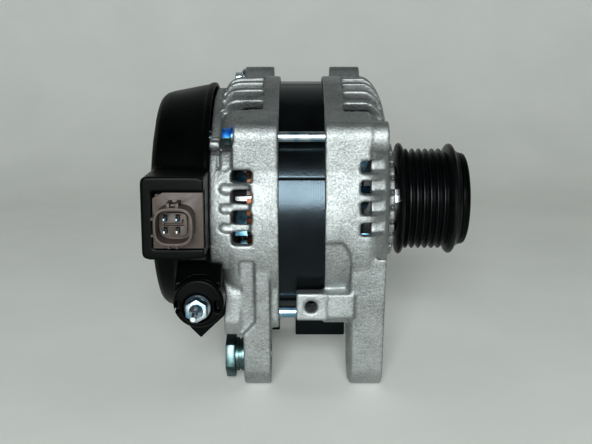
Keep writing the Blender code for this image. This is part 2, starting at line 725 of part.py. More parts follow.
def make_b_plus():
    x, z = B_PLUS_XZ
    face = B_PLUS_FACE_Y
    insulator = prism("b_plus_insulator", circle(B_PLUS_DISC_XZ, B_PLUS_R, 24), face, -61.3, "Y")
    skirt = hull(circle(B_PLUS_DISC_XZ, B_PLUS_R + 0.3, 16) + [(x - 11, z - 7), (x, z - 18.7), (x + 12, z - 7)])
    join(insulator, prism("skirt", skirt, -66.0, -61.3, "Y"))
    bm = bmesh.new()
    add_prism(bm, circle(B_PLUS_XZ, 7.6, 20), face - 1, face + 1.6, "Y")
    for side in (-1, 1):
        add_prism(bm, circle((x + side * 9.2, z + 1.0), 1.6, 8), face - 2, face + 5, "Y")
    cut(insulator, object_from("recesses", bm), prism("way", circle(B_PLUS_XZ, STUD_R + 0.5, 12), -90, -50, "Y"))
    stud = prism("b_plus_stud", circle(B_PLUS_XZ, STUD_R, 12), -88.0, -34.5, "Y")
    join(stud, prism("head", circle(B_PLUS_XZ, 5.0, 12), -36.5, -33.5, "Y"))
    join(stud, prism("pilot", circle(B_PLUS_XZ, 1.5, 10), -97.0, -87.0, "Y"))
    nut = prism("b_plus_nut", hexagon(B_PLUS_XZ, 10.0, 30), -84.5, -78.6, "Y")
    join(nut, prism("flange", circle(B_PLUS_XZ, 6.6, 20), -79.2, -77.7, "Y"))
    cut(nut, prism("bore", circle(B_PLUS_XZ, STUD_R + GAP, 12), -100, -70, "Y"))
    return insulator, stud, nut


def make_pivot_bush():
    """A steel bush with a hexagon head, drawn into the rear ear."""
    bush = prism("pivot_bush", hexagon(EAR_YZ, 21.0, 18), -37.9, -32.7)
    join(bush, prism("collar", circle(EAR_YZ, 8.8, 24), -33.2, REAR_EAR_X[0] - GAP))
    join(bush, prism("sleeve", circle(EAR_YZ, BUSH_R, 20), REAR_EAR_X[0] - 1, REAR_EAR_X[1]))
    return cut(bush, prism("bore", circle(EAR_YZ, EAR_BORE_R, 20), -60, 0))


def make_far_foot(name, bottom, span):
    """A black block under the far side, which the alternator stands on."""
    low, high = FAR_FOOT_Y
    top = FOOT_TOP_Z - GAP
    return prism(name, [(low, bottom), (high, bottom), (high + 1.5, top), (low - 1.5, top)], *span)


def make_retainer():
    plate = lathe("bearing_retainer", tube(31.2, 32.3, 16, 29.0), 32)
    bm = bmesh.new()
    for i in range(3):
        add_prism(bm, circle(polar(120 * i + 30, 27.0), 1.7, 8), 28, 36)
    return cut(plate, object_from("holes", bm))


def make_retainer_screw(index):
    centre = polar(120 * index + 30, 27.0)
    screw = prism(f"retainer_screw_{index + 1}", circle(centre, 1.4, 8), 30.0, 38.5)
    return join(screw, prism("head", circle(centre, 2.8, 10), 29.2, 30.9))


# ---------------------------------------------------------------- materials and assembly


def material(name, colour, roughness, metallic=0.0):
    """colour is an sRGB hex value."""
    made = bpy.data.materials.new(name)
    made.use_nodes = True
    shader = made.node_tree.nodes["Principled BSDF"]
    parts = [int(colour[i : i + 2], 16) / 255 for i in (0, 2, 4)]
    linear = [c / 12.92 if c <= 0.04045 else ((c + 0.055) / 1.055) ** 2.4 for c in parts]
    shader.inputs["Base Color"].default_value = (*linear, 1)
    shader.inputs["Roughness"].default_value = roughness
    shader.inputs["Metallic"].default_value = metallic
    return made


def empty(name, parent=None, location=(0, 0, 0)):
    made = bpy.data.objects.new(name, None)
    bpy.context.scene.collection.objects.link(made)
    made.parent = parent
    made.location = location
    return made


def place(finish, parent, *objects):
    for obj in objects:
        obj.data.materials.clear()
        obj.data.materials.append(finish)
        obj.parent = parent


def main():
    clear_scene()
    cast = material("cast_aluminium", "c4c6c3", 0.5, 1.0)
    zinc = material("zinc_plated_steel", "b9c4c6", 0.3, 1.0)
    lacquer = material("black_lacquered_steel", "17191b", 0.4, 0.3)
    black = material("black_nylon", "141518", 0.45)
    grey = material("grey_nylon", "8a8380", 0.55)
    copper = material("enamelled_copper", "a5602c", 0.35, 0.7)
    blue = material("blue_zinc_steel", "5c9bb4", 0.35, 0.8)
    steel = material("bearing_steel", "a9abad", 0.25, 1.0)
    carbon = material("carbon", "2b2a2a", 0.8)
    pulley_black = material("black_coated_steel", "0f1012", 0.35, 0.5)

    alternator = empty("alternator", location=-ORIGIN * MM)
    rotor = empty("rotor", alternator)
    pulley = empty("pulley_axis", rotor)

    place(cast, alternator, make_front_bracket(), make_rear_bracket())
    place(lacquer, alternator, make_stator_core())
    place(lacquer, alternator, make_far_foot("far_foot_front", FLOOR_Z, FAR_FOOT_X))
    place(lacquer, alternator, make_far_foot("far_foot_rear", REAR_FOOT_Z, REAR_FOOT_X))
    place(copper, alternator, make_stator_winding())
    for name, (angle, radius, end) in THROUGH_BOLTS.items():
        place(zinc, alternator, make_through_bolt(name, angle, radius, end))
    place(black, alternator, make_rear_cover(), make_brush_holder(), make_regulator())
    for index, angle in enumerate(COVER_SCREWS, 1):
        place(zinc, alternator, make_cover_screw(index, angle))
    place(grey, alternator, make_connector())
    for index, spot in enumerate(pin_places(), 1):
        place(zinc, alternator, make_pin(index, spot))
    insulator, stud, nut = make_b_plus()
    place(black, alternator, insulator)
    place(zinc, alternator, stud, nut, make_pivot_bush())
    place(cast, alternator, make_heatsink("heatsink_positive", *POSITIVE_X, 150))
    place(cast, alternator, make_heatsink("heatsink_negative", *NEGATIVE_X, 150))
    for name, span in (("positive", POSITIVE_X), ("negative", NEGATIVE_X)):
        for index, angle in enumerate(DIODES[f"heatsink_{name}"], 1):
            place(steel, alternator, make_diode(name, index, angle, span))
    place(black, alternator, prism("rectifier_insulator", sector(26, 51, 152, 286, 10), -53.5, -50.6))
    place(zinc, alternator, make_retainer(), *[make_retainer_screw(i) for i in range(3)])

    for name, span in SLIP_RINGS_X.items():
        place(carbon, alternator, make_brush(name, span))
        place(zinc, alternator, make_brush_spring(name, span))
        ring = tube(*span, 4.6 + GAP, SLIP_RING_R)
        place(copper, rotor, lathe(f"slip_ring_{name}", ring, 24))

    for name, bearing, balls, ball_r in (
        ("front_bearing", FRONT_BEARING, 7, 3.6),
        ("rear_bearing", REAR_BEARING, 8, 2.4),
    ):
        outer_race, inner_race, cage = make_bearing(name, bearing, balls, ball_r)
        place(steel, alternator, outer_race, cage)
        place(steel, rotor, inner_race)

    place(steel, rotor, make_shaft())
    place(lacquer, rotor, make_claw_pole("claw_pole_front", ROTOR_X[1], -1), make_claw_pole("claw_pole_rear", ROTOR_X[0], 1))
    place(copper, rotor, lathe("field_coil", tube(-7.6, 9.8, 23.8, 36.5), 32))
    place(blue, rotor, make_fan("front_fan", ROTOR_X[1] + GAP, 35.6), make_fan("rear_fan", ROTOR_X[0] - GAP, -32.4))
    place(steel, rotor, lathe("pulley_hub", tube(50.6, 84.0, 8.2 + GAP, 13.4), 24))
    place(steel, rotor, lathe("clutch_cage", tube(55.0, 82.0, 13.4 + GAP, PULLEY_BORE_R - 0.6), 24))
    place(pulley_black, pulley, make_pulley())
    place(black, pulley, make_pulley_cap())


main()
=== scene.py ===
"""Car alternator: the looks of its castings, stampings, windings, mouldings and pulley, on the CAD frame."""

from math import cos, pi, radians, sin

import bmesh
import bpy
from mathutils import Matrix, Vector
from mathutils.geometry import convex_hull_2d


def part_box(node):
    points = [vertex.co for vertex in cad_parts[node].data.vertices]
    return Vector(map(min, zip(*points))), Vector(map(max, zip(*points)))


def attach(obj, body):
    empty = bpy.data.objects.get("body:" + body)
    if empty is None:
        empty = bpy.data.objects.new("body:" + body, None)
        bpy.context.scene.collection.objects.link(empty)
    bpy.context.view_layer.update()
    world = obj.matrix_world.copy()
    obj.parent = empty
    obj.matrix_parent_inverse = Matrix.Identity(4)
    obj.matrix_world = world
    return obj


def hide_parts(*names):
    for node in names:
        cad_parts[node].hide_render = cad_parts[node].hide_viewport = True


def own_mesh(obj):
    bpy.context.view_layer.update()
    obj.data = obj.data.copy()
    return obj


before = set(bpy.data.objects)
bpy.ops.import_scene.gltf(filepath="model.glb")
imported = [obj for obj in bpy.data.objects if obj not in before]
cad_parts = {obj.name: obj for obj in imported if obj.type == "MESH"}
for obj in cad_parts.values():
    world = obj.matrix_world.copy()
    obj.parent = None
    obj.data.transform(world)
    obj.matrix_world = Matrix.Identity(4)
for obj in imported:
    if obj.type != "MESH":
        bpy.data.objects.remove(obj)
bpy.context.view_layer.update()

# ---------------------------------------------------------------- rear bracket
# The rear housing is a high-pressure die casting in aluminium. Its skirt grips the stator, its slots let the
# cooling air in, and a leg on the near side ends in the pivot ear. Every edge has the radius of its mould.

MM = 0.001
# The point on the shaft's axis that the part's own measures start from.
SHAFT = (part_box("pulley")[0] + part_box("pulley")[1]) / 2
SHAFT.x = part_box("stator_core")[0].x + 14.7 * MM

# Millimetres about the shaft: X runs along it towards the pulley, -Y to the plug's side and Z up.
DRUM_R = 66.0
SEAT_R = 63.7
CAVITY_R = 60.5
RIM_R = 59.7
RIM_END = -43.1
HUB_R = 23.4
BOLT_CIRCLE_R = 68.0
LOBE_R = 8.0
BOLTS = {"upper_near": 35.0, "top": 112.0, "lower_far": 228.5, "lower_near": -48.5}
EAR_YZ = (-35.3, -76.8)
EAR_R = 15.2
SLOT_PITCH = 8.7
SLOT_WIDTH = 6.3
COVER_SCREWS = (50.0, 135.0, 305.0)
COVER_SCREW_CIRCLE_R = 47.0
FOOT_ROOT = ((40.5, -65.9), (61.4, -65.9), (39.2, -40), (62.8, -40))


def polar(angle, radius):
    """(y, z) round the shaft, at an angle in degrees up from the near side."""
    return -radius * cos(radians(angle)), radius * sin(radians(angle))


def sector(inner, outer, start, end, steps):
    """The (y, z) outline of a piece of a ring, from one angle to another."""
    turns = [start + (end - start) * i / steps for i in range(steps + 1)]
    return [polar(a, outer) for a in turns] + [polar(a, inner) for a in reversed(turns)]


def circle(centre, radius, count, start=0.0):
    turns = [start + 2 * pi * i / count for i in range(count)]
    return [(centre[0] + radius * cos(t), centre[1] + radius * sin(t)) for t in turns]


def hull(points):
    return [points[i] for i in convex_hull_2d(points)]


def made(name, bm, smooth_angle=35):
    """An object from a mesh drawn in millimetres about the shaft."""
    bmesh.ops.remove_doubles(bm, verts=bm.verts, dist=1e-4)
    bmesh.ops.recalc_face_normals(bm, faces=bm.faces)
    bmesh.ops.transform(bm, matrix=Matrix.Translation(SHAFT) @ Matrix.Scale(MM, 4), verts=bm.verts)
    mesh = bpy.data.meshes.new(name)
    bm.to_mesh(mesh)
    bm.free()
    mesh.shade_smooth()
    mesh.set_sharp_from_angle(angle=radians(smooth_angle))
    obj = bpy.data.objects.new(name, mesh)
    bpy.context.scene.collection.objects.link(obj)
    return obj


def add_loft(bm, rings):
    """A closed solid through rings of points, all with the same count."""
    rows = [[bm.verts.new(p) for p in ring] for ring in rings]
    count = len(rings[0])
    bm.faces.new(rows[0])
    bm.faces.new(rows[-1])
    for a, b in zip(rows, rows[1:]):
        for i in range(count):
            j = (i + 1) % count
            bm.faces.new((a[i], a[j], b[j], b[i]))


def add_prism(bm, outline, low, high, axis="X"):
    """A prism of a (y, z) outline along X, or of an (x, z) outline along Y."""
    if axis == "X":
        add_loft(bm, [[(along, y, z) for y, z in outline] for along in (low, high)])
    else:
        add_loft(bm, [[(x, along, z) for x, z in outline] for along in (low, high)])


def prism(name, outline, low, high, axis="X"):
    bm = bmesh.new()
    add_prism(bm, outline, low, high, axis)
    return made(name, bm)


def block(name, points):
    """The convex solid round a few points."""
    bm = bmesh.new()
    verts = [bm.verts.new(p) for p in points]
    bmesh.ops.convex_hull(bm, input=verts)
    return made(name, bm)


def slab(name, sides, corners):
    """The convex solid between two planes across the shaft, from the (y, z) corners on each."""
    return block(name, [(x, y, z) for x in sides for y, z in corners])


def box(name, low, high):
    return slab(name, (low[0], high[0]), [(y, z) for y in (low[1], high[1]) for z in (low[2], high[2])])


def turned(name, profile, segments=96, axis="X", centre=(0, 0, 0), start=0.0):
    """A closed (along, radius) profile turned round an axis."""
    bm = bmesh.new()
    ring = [bm.verts.new((along, 0, radius)) for along, radius in profile]
    edges = [bm.edges.new((ring[i], ring[(i + 1) % len(ring)])) for i in range(len(ring))]
    bmesh.ops.spin(
        bm, geom=ring + edges, cent=(0, 0, 0), axis=(1, 0, 0), angle=2 * pi, steps=segments, use_merge=True
    )
    bmesh.ops.remove_doubles(bm, verts=bm.verts, dist=1e-4)
    bmesh.ops.delete(bm, geom=[e for e in bm.edges if not e.link_faces], context="EDGES")
    turn = Matrix.Rotation(radians(start), 4, "X")
    if axis == "Y":
        turn = Matrix.Rotation(pi / 2, 4, "Z") @ turn
    bmesh.ops.transform(bm, matrix=Matrix.Translation(centre) @ turn, verts=bm.verts)
    return made(name, bm)


def boolean(target, tools, operation):
    """Joins or cuts a solid with each tool in turn, and uses the tools up."""
    for tool in tools:
        modifier = target.modifiers.new("boolean", "BOOLEAN")
        modifier.operation = operation
        modifier.solver = "EXACT"
        modifier.object = tool
        graph = bpy.context.evaluated_depsgraph_get()
        changed = bpy.data.meshes.new_from_object(target.evaluated_get(graph))
        target.modifiers.clear()
        target.data = changed
        changed.set_sharp_from_angle(angle=radians(35))
        bpy.data.objects.remove(tool)
    return target


def join(target, *tools):
    return boolean(target, tools, "UNION")


def cut(target, *tools):
    return boolean(target, tools, "DIFFERENCE")


def baked(obj):
    """Turns an object's modifiers into plain mesh."""
    graph = bpy.context.evaluated_depsgraph_get()
    mesh = bpy.data.meshes.new_from_object(obj.evaluated_get(graph))
    obj.modifiers.clear()
    obj.data = mesh
    return obj


def as_moulded(obj, grid, passes):
    """Gives a sharp solid the rounded edges and filled corners that a mould leaves."""
    skin = obj.modifiers.new("skin", "REMESH")
    skin.mode = "VOXEL"
    skin.voxel_size = grid * MM
    soften = obj.modifiers.new("soften", "SMOOTH")
    soften.factor = 0.5
    soften.iterations = passes
    lighten = obj.modifiers.new("lighten", "DECIMATE")
    lighten.ratio = 0.6
    baked(obj)
    obj.data.shade_smooth()
    return obj


def rounded(obj, width, segments=2, angle=40):
    """Breaks the sharp edges of a solid."""
    bevel = obj.modifiers.new("bevel", "BEVEL")
    bevel.width = width * MM
    bevel.segments = segments
    bevel.limit_method = "ANGLE"
    bevel.angle_limit = radians(angle)
    bevel.use_clamp_overlap = True
    baked(obj)
    obj.data.shade_smooth()
    obj.data.set_sharp_from_angle(angle=radians(50))
    return obj


def linear(colour):
    """The linear RGBA of an sRGB hex value."""
    parts = [int(colour[i : i + 2], 16) / 255 for i in (0, 2, 4)]
    return (*[c / 12.92 if c <= 0.04045 else ((c + 0.055) / 1.055) ** 2.4 for c in parts], 1.0)


def add(tree, kind, links=(), **settings):
    """Adds a node. Settings are its properties, links gives its inputs a value or another node's output."""
    node = tree.nodes.new(kind)
    for name, value in settings.items():
        setattr(node, name, value)
    for key, value in dict(links).items():
        if isinstance(value, bpy.types.NodeSocket):
            tree.links.new(value, node.inputs[key])
        else:
            node.inputs[key].default_value = value
    return node


def surface(name, roughness, metallic=0.0, **sockets):
    """A material with its shader's own sockets set, its tree, its shader and the place on the piece."""
    material = bpy.data.materials.new(name)
    material.use_nodes = True
    tree = material.node_tree
    shader = tree.nodes["Principled BSDF"]
    shader.inputs["Roughness"].default_value = roughness
    shader.inputs["Metallic"].default_value = metallic
    for socket, value in sockets.items():
        shader.inputs[socket.replace("_", " ")].default_value = value
    place = add(tree, "ShaderNodeTexCoord").outputs["Object"]
    return material, tree, shader, place


def dress(obj, finish, slot, body, *replaced):
    """Gives a piece its finish, and puts it on its body in place of CAD nodes. Its slot is not used."""
    obj.data.materials.clear()
    obj.data.materials.append(finish)
    if replaced:
        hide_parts(*replaced)
    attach(obj, body)
    return obj


# Aluminium as cast and shot-blasted: a matt grain that glitters where it faces the light, over slow waves
# from the mould, with dark specks and faint grey staining. The dimples are drawn 1.2 mm apart, coarser than
# real ones, so that they show.
cast_aluminium, tree, shader, place = surface("shot_blasted_cast_aluminium", 0.58, 1.0)
grain, wave, stain, speck = [
    add(tree, "ShaderNodeTexNoise", {"Vector": place, "Scale": 1 / (size * MM), "Detail": d, "Roughness": r})
    for size, d, r in ((1.2, 4.0, 0.7), (14, 2.0, 0.5), (28, 5.0, 0.65), (0.9, 2.0, 0.6))
]
blend = add(tree, "ShaderNodeMath", {0: stain.outputs["Fac"], 1: speck.outputs["Fac"]}, operation="ADD")
half = add(tree, "ShaderNodeMath", {0: blend.outputs[0], 1: 0.5}, operation="MULTIPLY")
tone = add(tree, "ShaderNodeValToRGB", {"Fac": half.outputs[0]})
tone.color_ramp.elements[0].position = 0.38
tone.color_ramp.elements[0].color = linear("8f9392")
tone.color_ramp.elements[1].position = 0.56
tone.color_ramp.elements[1].color = linear("b1b5b4")
glint = add(
    tree,
    "ShaderNodeMapRange",
    {"Value": grain.outputs["Fac"], "From Min": 0.3, "From Max": 0.7, "To Min": 0.66, "To Max": 0.5},
)
tree.links.new(tone.outputs["Color"], shader.inputs["Base Color"])
tree.links.new(glint.outputs["Result"], shader.inputs["Roughness"])
soft = add(tree, "ShaderNodeBump", {"Height": wave.outputs["Fac"], "Strength": 0.35, "Distance": 0.5 * MM})
rough = add(
    tree,
    "ShaderNodeBump",
    {"Height": grain.outputs["Fac"], "Strength": 0.8, "Distance": 0.4 * MM, "Normal": soft.outputs["Normal"]},
)
tree.links.new(rough.outputs["Normal"], shader.inputs["Normal"])


def bolt_lobe(bolt, low, high, radius=LOBE_R, spread=16):
    """The swelling of a drum round one through bolt."""
    angle = BOLTS[bolt]
    points = circle(polar(angle, BOLT_CIRCLE_R), radius, 28)
    points += [polar(angle + a, DRUM_R - 0.4) for a in range(-spread, spread + 1, 4)]
    points.append(polar(angle, 50))
    return prism("lobe", hull(points), low, high)


def bolt_holes(low, high):
    bm = bmesh.new()
    for name, angle in BOLTS.items():
        radius = 3.7 if name == "lower_near" else 3.0
        add_prism(bm, circle(polar(angle, BOLT_CIRCLE_R), radius, 24), low, high)
    return made("bolt_holes", bm)


def slot_cutter(name, profile, angles):
    """Slots through a drum, an (x, radius) outline at each angle. The near ones are all pulled towards -Y."""
    bm = bmesh.new()
    for angle in angles:
        pull = 0 if angle < 30 else angle
        out = Vector((0, *polar(pull, 1.0)))
        side = Vector((0, *polar(pull + 90, 1.0)))
        middle = DRUM_R * sin(radians(angle - pull))
        half = SLOT_WIDTH / 2 * cos(radians(angle - pull))
        rings = []
        for edge in (middle - half, middle + half):
            depths = [(x, (max(r * r - middle * middle, 1.0)) ** 0.5) for x, r in profile]
            rings.append([Vector((x, 0, 0)) + out * depth + side * edge for x, depth in depths])
        add_loft(bm, rings)
    return made(name, bm)


def slot_angles(first, last):
    """Angles at the slots' pitch, clear of the through bolts."""
    found = []
    angle = first
    while angle < last:
        if all(abs(angle - bolt) > 10.6 for bolt in BOLTS.values()):
            found.append(angle)
        angle += SLOT_PITCH
    return found


def leg_outline(radius):
    """A leg's (y, z) outline, from the drum down to the ear."""
    return hull(circle(EAR_YZ, radius, 48) + [polar(-17, DRUM_R - 1), polar(-76, DRUM_R - 4)])


def behind_flank(z, depth):
    """y at a depth behind the leg's near flank, which leans in towards the ear."""
    return -62.2 + (-19 - z) * 0.195 + depth


# The drum, with its shoulder a quarter of an ellipse, the lobes, the leg and the pad round the near slots.
pad = bmesh.new()
pad_skin = ((RIM_END, 63.2), (-37.0, 64.6), (-28.0, 65.8))
add_loft(pad, [[(x, *p) for p in sector(57.0, radius, -23, 29, 12)] for x, radius in pad_skin])
shoulder = [(-29.7 - 8.4 * sin(radians(a)), RIM_R - 0.8 + 6.9 * cos(radians(a))) for a in range(0, 85, 12)]
drum = [(-11, 0), (-9.9, DRUM_R), (-20, DRUM_R), *shoulder, (-38.3, RIM_R), (RIM_END, RIM_R), (RIM_END, 0)]
rear = turned("rear_bracket_casting", drum)
join(
    rear,
    bolt_lobe("upper_near", -31.9, -10.0),
    bolt_lobe("lower_near", -31.9, -10.0),
    bolt_lobe("top", -29.9, -13.7, 7.5, 8),
    bolt_lobe("lower_far", -31.0, -12.7, spread=10),
    prism("leg", leg_outline(EAR_R), -28.1, -14.5),
    slab(
        "web",
        (-37.6, -27),
        ((-53, -24), (-55.5, -40), (-54.5, -54), (-51.5, -61), (-44, -61.5), (-18, -54), (-30, -15)),
    ),
    made("pad", pad),
    slab("foot_root", (-26.9, -11.4), FOOT_ROOT),
    turned("post", [(-43.0, 0), (-43.0, 3.6), (-36, 3.6), (-36, 0)], 32, centre=(0, *polar(33.3, 65.2))),
)
# Room for the stator and the rotor on one side of the end wall, and for the electrics on the other.
cavity = [(0, 0), (0, SEAT_R), (-15.0, SEAT_R), (-15.0, CAVITY_R), (-27, CAVITY_R), (-33.9, 55), (-33.9, 0)]
cut(
    rear,
    turned("cavity", cavity, start=1.1),
    turned("behind", [(-50, 23), (-38.0, 23), (-38.0, 56.4), (-50, 56.4)], start=2.3),
)
hub = [(-46.8, 0), (-33.5, 0), (-33.5, HUB_R), (-45.6, HUB_R), (-46.8, HUB_R - 1.2)]
join(rear, turned("hub", hub, 64))
cut(
    rear,
    turned("bearing_seat", [(-46.0, 0), (-30, 0), (-30, 17.8), (-46.0, 17.8)], 64, start=3.7),
    turned("slip_ring_way", [(-50, 0), (-30, 0), (-30, 12), (-50, 12)], 48, start=1.9),
)
# The near slots are widened inside the pad, to round ends. The others run over the shoulder.
near_slots = [a for a in slot_angles(-8.0, 60) if a < 26]
over_slots = slot_angles(53.8, 214)
near_outline = [(-32.4, 50), (-22.7, 50), (-22.7, 90), (-32.4, 90)]
over_outline = [(-33.0, 50), (-17.8, 50), (-17.8, 90), (-39.2, 90), (-39.2, 57.6), (-33.0, 56.6)]
FINGER_R = 2.2
bars = bmesh.new()
for angle in near_slots[:-1]:
    y, z = polar(angle + SLOT_PITCH / 2, DRUM_R - 3.8)
    left = [(-36.1 + FINGER_R * cos(radians(a)), z + FINGER_R * sin(radians(a))) for a in range(90, 271, 20)]
    add_prism(bars, left + [(-23.4, z - FINGER_R), (-23.4, z + FINGER_R)], -90, y, "Y")
cut(
    rear,
    slot_cutter("near_slots", near_outline, near_slots),
    slot_cutter("over_slots", over_outline, over_slots),
    made("bars", bars),
)
cut(
    rear,
    slab("groove_down", (-39.5, -37.9), ((-90, 33.5), (-90, 23.4), (-54.0, 33.5), (-57.8, 23.4))),
    slab("groove_across", (-39.0, -32.0), ((-90, 25.0), (-90, 23.3), (-57.2, 25.0), (-57.8, 23.3))),
)
bm = bmesh.new()
for i in range(6):
    add_prism(bm, sector(27, 51.5, 60 * i - 18, 60 * i + 18, 8), -42, -32)
cut(rear, made("end_slots", bm))
# Pockets for the bolts' heads, open outwards apart from the lower near one.
bm = bmesh.new()
for name, angle in BOLTS.items():
    centre = polar(angle, BOLT_CIRCLE_R)
    pocket = hull(circle(centre, 6.6, 32) + circle(polar(angle, BOLT_CIRCLE_R + 14), 7.4, 32))
    if name == "lower_near":
        pocket = circle(centre, 5.4, 32)
    add_prism(bm, pocket, -37.9 if "near" in name else -60, -31.3)
cut(rear, made("head_pockets", bm), bolt_holes(-60, 0))
# The leg's near flank is set back on its rear side.
step = [(-29.5, -20.5), (-21.9, -20.5), (-21.9, -53.5), (-27.6, -60.0), (-29.5, -60.0)]
cut(
    rear,
    block("step", [(x, y, z) for x, z in step for y in (-80, behind_flank(z, 2.6))]),
    prism("ear_bore", circle(EAR_YZ, 8.1, 48), -60, 0),
)
posts = bmesh.new()
holes = bmesh.new()
for angle in COVER_SCREWS:
    centre = polar(angle, COVER_SCREW_CIRCLE_R)
    add_prism(posts, circle(centre, 5.5, 24), -41.0, -34.2)
    add_prism(holes, circle(centre, 2.9, 20), -42.0, -30.0)
join(rear, made("posts", posts))
cut(rear, made("stud_holes", holes))
as_moulded(rear, 0.8, 5)
dress(rear, cast_aluminium, "cast", "housing", "rear_bracket")

# ---------------------------------------------------------------- stator
# A stack of electrical-steel laminations 0.5 mm thick, welded along its outside and lacquered black, wound
# with flat enamelled copper conductors whose twisted ends stand out of it in two crowns.


def mottled(tree, shader, place, size, detail, low, high, low_at=0.0, high_at=1.0, roughness=0.5):
    """Lets the colour drift between two tones, in patches of a size in mm. Returns the patches' value."""
    patches = add(
        tree,
        "ShaderNodeTexNoise",
        {"Vector": place, "Scale": 1 / (size * MM), "Detail": detail, "Roughness": roughness},
    )
    tone = add(tree, "ShaderNodeValToRGB", {"Fac": patches.outputs["Fac"]})
    for end, at, colour in zip(tone.color_ramp.elements, (low_at, high_at), (low, high)):
        end.position = at
        end.color = linear(colour)
    tree.links.new(tone.outputs["Color"], shader.inputs["Base Color"])
    return patches.outputs["Fac"]


# Black lacquer over laminations: glossy, a little dusty, with the sheets' edges just showing as fine rings,
# drawn 1.1 mm apart so that they show.
lacquer, tree, shader, place = surface("black_lacquered_laminations", 0.2, 0.0, Specular_IOR_Level=0.42)
shader.inputs["Specular Tint"].default_value = linear("d3ecfa")
split = add(tree, "ShaderNodeSeparateXYZ", {"Vector": place})
ridge = add(tree, "ShaderNodeMath", {0: split.outputs["X"], 1: 2 * pi / (1.1 * MM)}, operation="MULTIPLY")
ridges = add(tree, "ShaderNodeMath", {0: ridge.outputs[0]}, operation="SINE")
cloud = mottled(tree, shader, place, 16, 4.0, "070909", "101415", 0.35, 0.7)
gloss = add(
    tree,
    "ShaderNodeMapRange",
    {"Value": cloud, "From Min": 0.3, "From Max": 0.7, "To Min": 0.18, "To Max": 0.26},
)
tree.links.new(gloss.outputs["Result"], shader.inputs["Roughness"])
edges = add(tree, "ShaderNodeBump", {"Height": ridges.outputs[0], "Strength": 0.12, "Distance": 0.05 * MM})
dust = add(
    tree,
    "ShaderNodeTexNoise",
    {"Vector": place, "Scale": 1 / (1.1 * MM), "Detail": 3.0, "Roughness": 0.7},
)
bits = add(
    tree,
    "ShaderNodeBump",
    {"Height": dust.outputs["Fac"], "Strength": 0.5, "Distance": 0.1 * MM, "Normal": edges.outputs["Normal"]},
)
tree.links.new(bits.outputs["Normal"], shader.inputs["Normal"])

STEPS = 720
FIRST_WELD = 18
WELDS_APART = 60
STACK = ((-14.7, "outer"), (-14.2, "rim"), (16.4, "rim"), (16.9, "outer"), (16.9, "inner"), (-14.7, "inner"))
bm = bmesh.new()
loops = []
for x, kind in STACK:
    loop = []
    for i in range(STEPS):
        angle = 360 * i / STEPS
        past_weld = (angle - FIRST_WELD) % WELDS_APART
        radius = 62.9 if min(past_weld, WELDS_APART - past_weld) < 0.4 else 63.2
        if kind == "outer":
            radius -= 0.4
        if kind == "inner":
            radius = 57.5 if 5 < angle % 15 < 10 else 47.0
        loop.append(bm.verts.new((x, *polar(angle, radius))))
    loops.append(loop)
for a, b in zip(loops, loops[1:] + loops[:1]):
    for i in range(STEPS):
        j = (i + 1) % STEPS
        bm.faces.new((a[i], a[j], b[j], b[i]))
dress(made("stator_stack", bm), lacquer, "lacquer", "housing", "stator_core")

# Copper under amber enamel: warm, a little glossy, browner where the varnish has run.
enamel, tree, shader, place = surface("enamelled_copper", 0.42, 0.85, Coat_Weight=0.2, Coat_Roughness=0.2)
cloud = mottled(tree, shader, place, 5, 3.0, "1e0d05", "673812", 0.35, 0.65)
drip = add(tree, "ShaderNodeBump", {"Height": cloud, "Strength": 0.4, "Distance": 0.2 * MM})
tree.links.new(drip.outputs["Normal"], shader.inputs["Normal"])

# The tree that repeats a piece round the shaft.
ring_tree = bpy.data.node_groups.new("round_the_shaft", "GeometryNodeTree")
RING_KINDS = {"Piece": "Geometry", "Copies": "Int", "Step": "Float", "Shaft": "Vector", "Finish": "Material"}
RING_INPUTS = {
    key: ring_tree.interface.new_socket(key, in_out="INPUT", socket_type=f"NodeSocket{kind}").identifier
    for key, kind in RING_KINDS.items()
}
ring_tree.interface.new_socket("Result", in_out="OUTPUT", socket_type="NodeSocketGeometry")
given = add(ring_tree, "NodeGroupInput").outputs
points = add(ring_tree, "GeometryNodePoints", {"Count": given["Copies"], "Position": given["Shaft"]})
back = add(ring_tree, "ShaderNodeVectorMath", {0: given["Shaft"], "Scale": -1.0}, operation="SCALE")
centred = add(ring_tree, "GeometryNodeTransform", {"Geometry": given["Piece"], "Translation": back.outputs[0]})
order = add(ring_tree, "GeometryNodeInputIndex")
turn = add(ring_tree, "ShaderNodeMath", {0: order.outputs[0], 1: given["Step"]}, operation="MULTIPLY")
angles = add(ring_tree, "ShaderNodeCombineXYZ", {"X": turn.outputs[0]})
copied = add(
    ring_tree,
    "GeometryNodeInstanceOnPoints",
    {"Points": points.outputs[0], "Instance": centred.outputs[0], "Rotation": angles.outputs[0]},
)
real = add(ring_tree, "GeometryNodeRealizeInstances", {"Geometry": copied.outputs[0]})
coloured = add(
    ring_tree,
    "GeometryNodeSetMaterial",
    {"Geometry": real.outputs[0], "Material": given["Finish"]},
)
add(ring_tree, "NodeGroupOutput", {0: coloured.outputs[0]})


def round_shaft(obj, copies, finish):
    """Repeats a piece evenly round the shaft."""
    modifier = obj.modifiers.new("round_the_shaft", "NODES")
    modifier.node_group = ring_tree
    modifier[RING_INPUTS["Copies"]] = copies
    modifier[RING_INPUTS["Step"]] = radians(360 / copies)
    modifier[RING_INPUTS["Shaft"]] = tuple(SHAFT)
    modifier[RING_INPUTS["Finish"]] = finish
    return baked(obj)


def merged(name, *objs):
    """One object from several, without joining their skins."""
    bm = bmesh.new()
    for obj in objs:
        bm.from_mesh(obj.data)
    mesh = bpy.data.meshes.new(name)
    bm.to_mesh(mesh)
    bm.free()
    for obj in objs:
        bpy.data.objects.remove(obj)
    mesh.set_sharp_from_angle(angle=radians(40))
    whole = bpy.data.objects.new(name, mesh)
    bpy.context.scene.collection.objects.link(whole)
    return whole


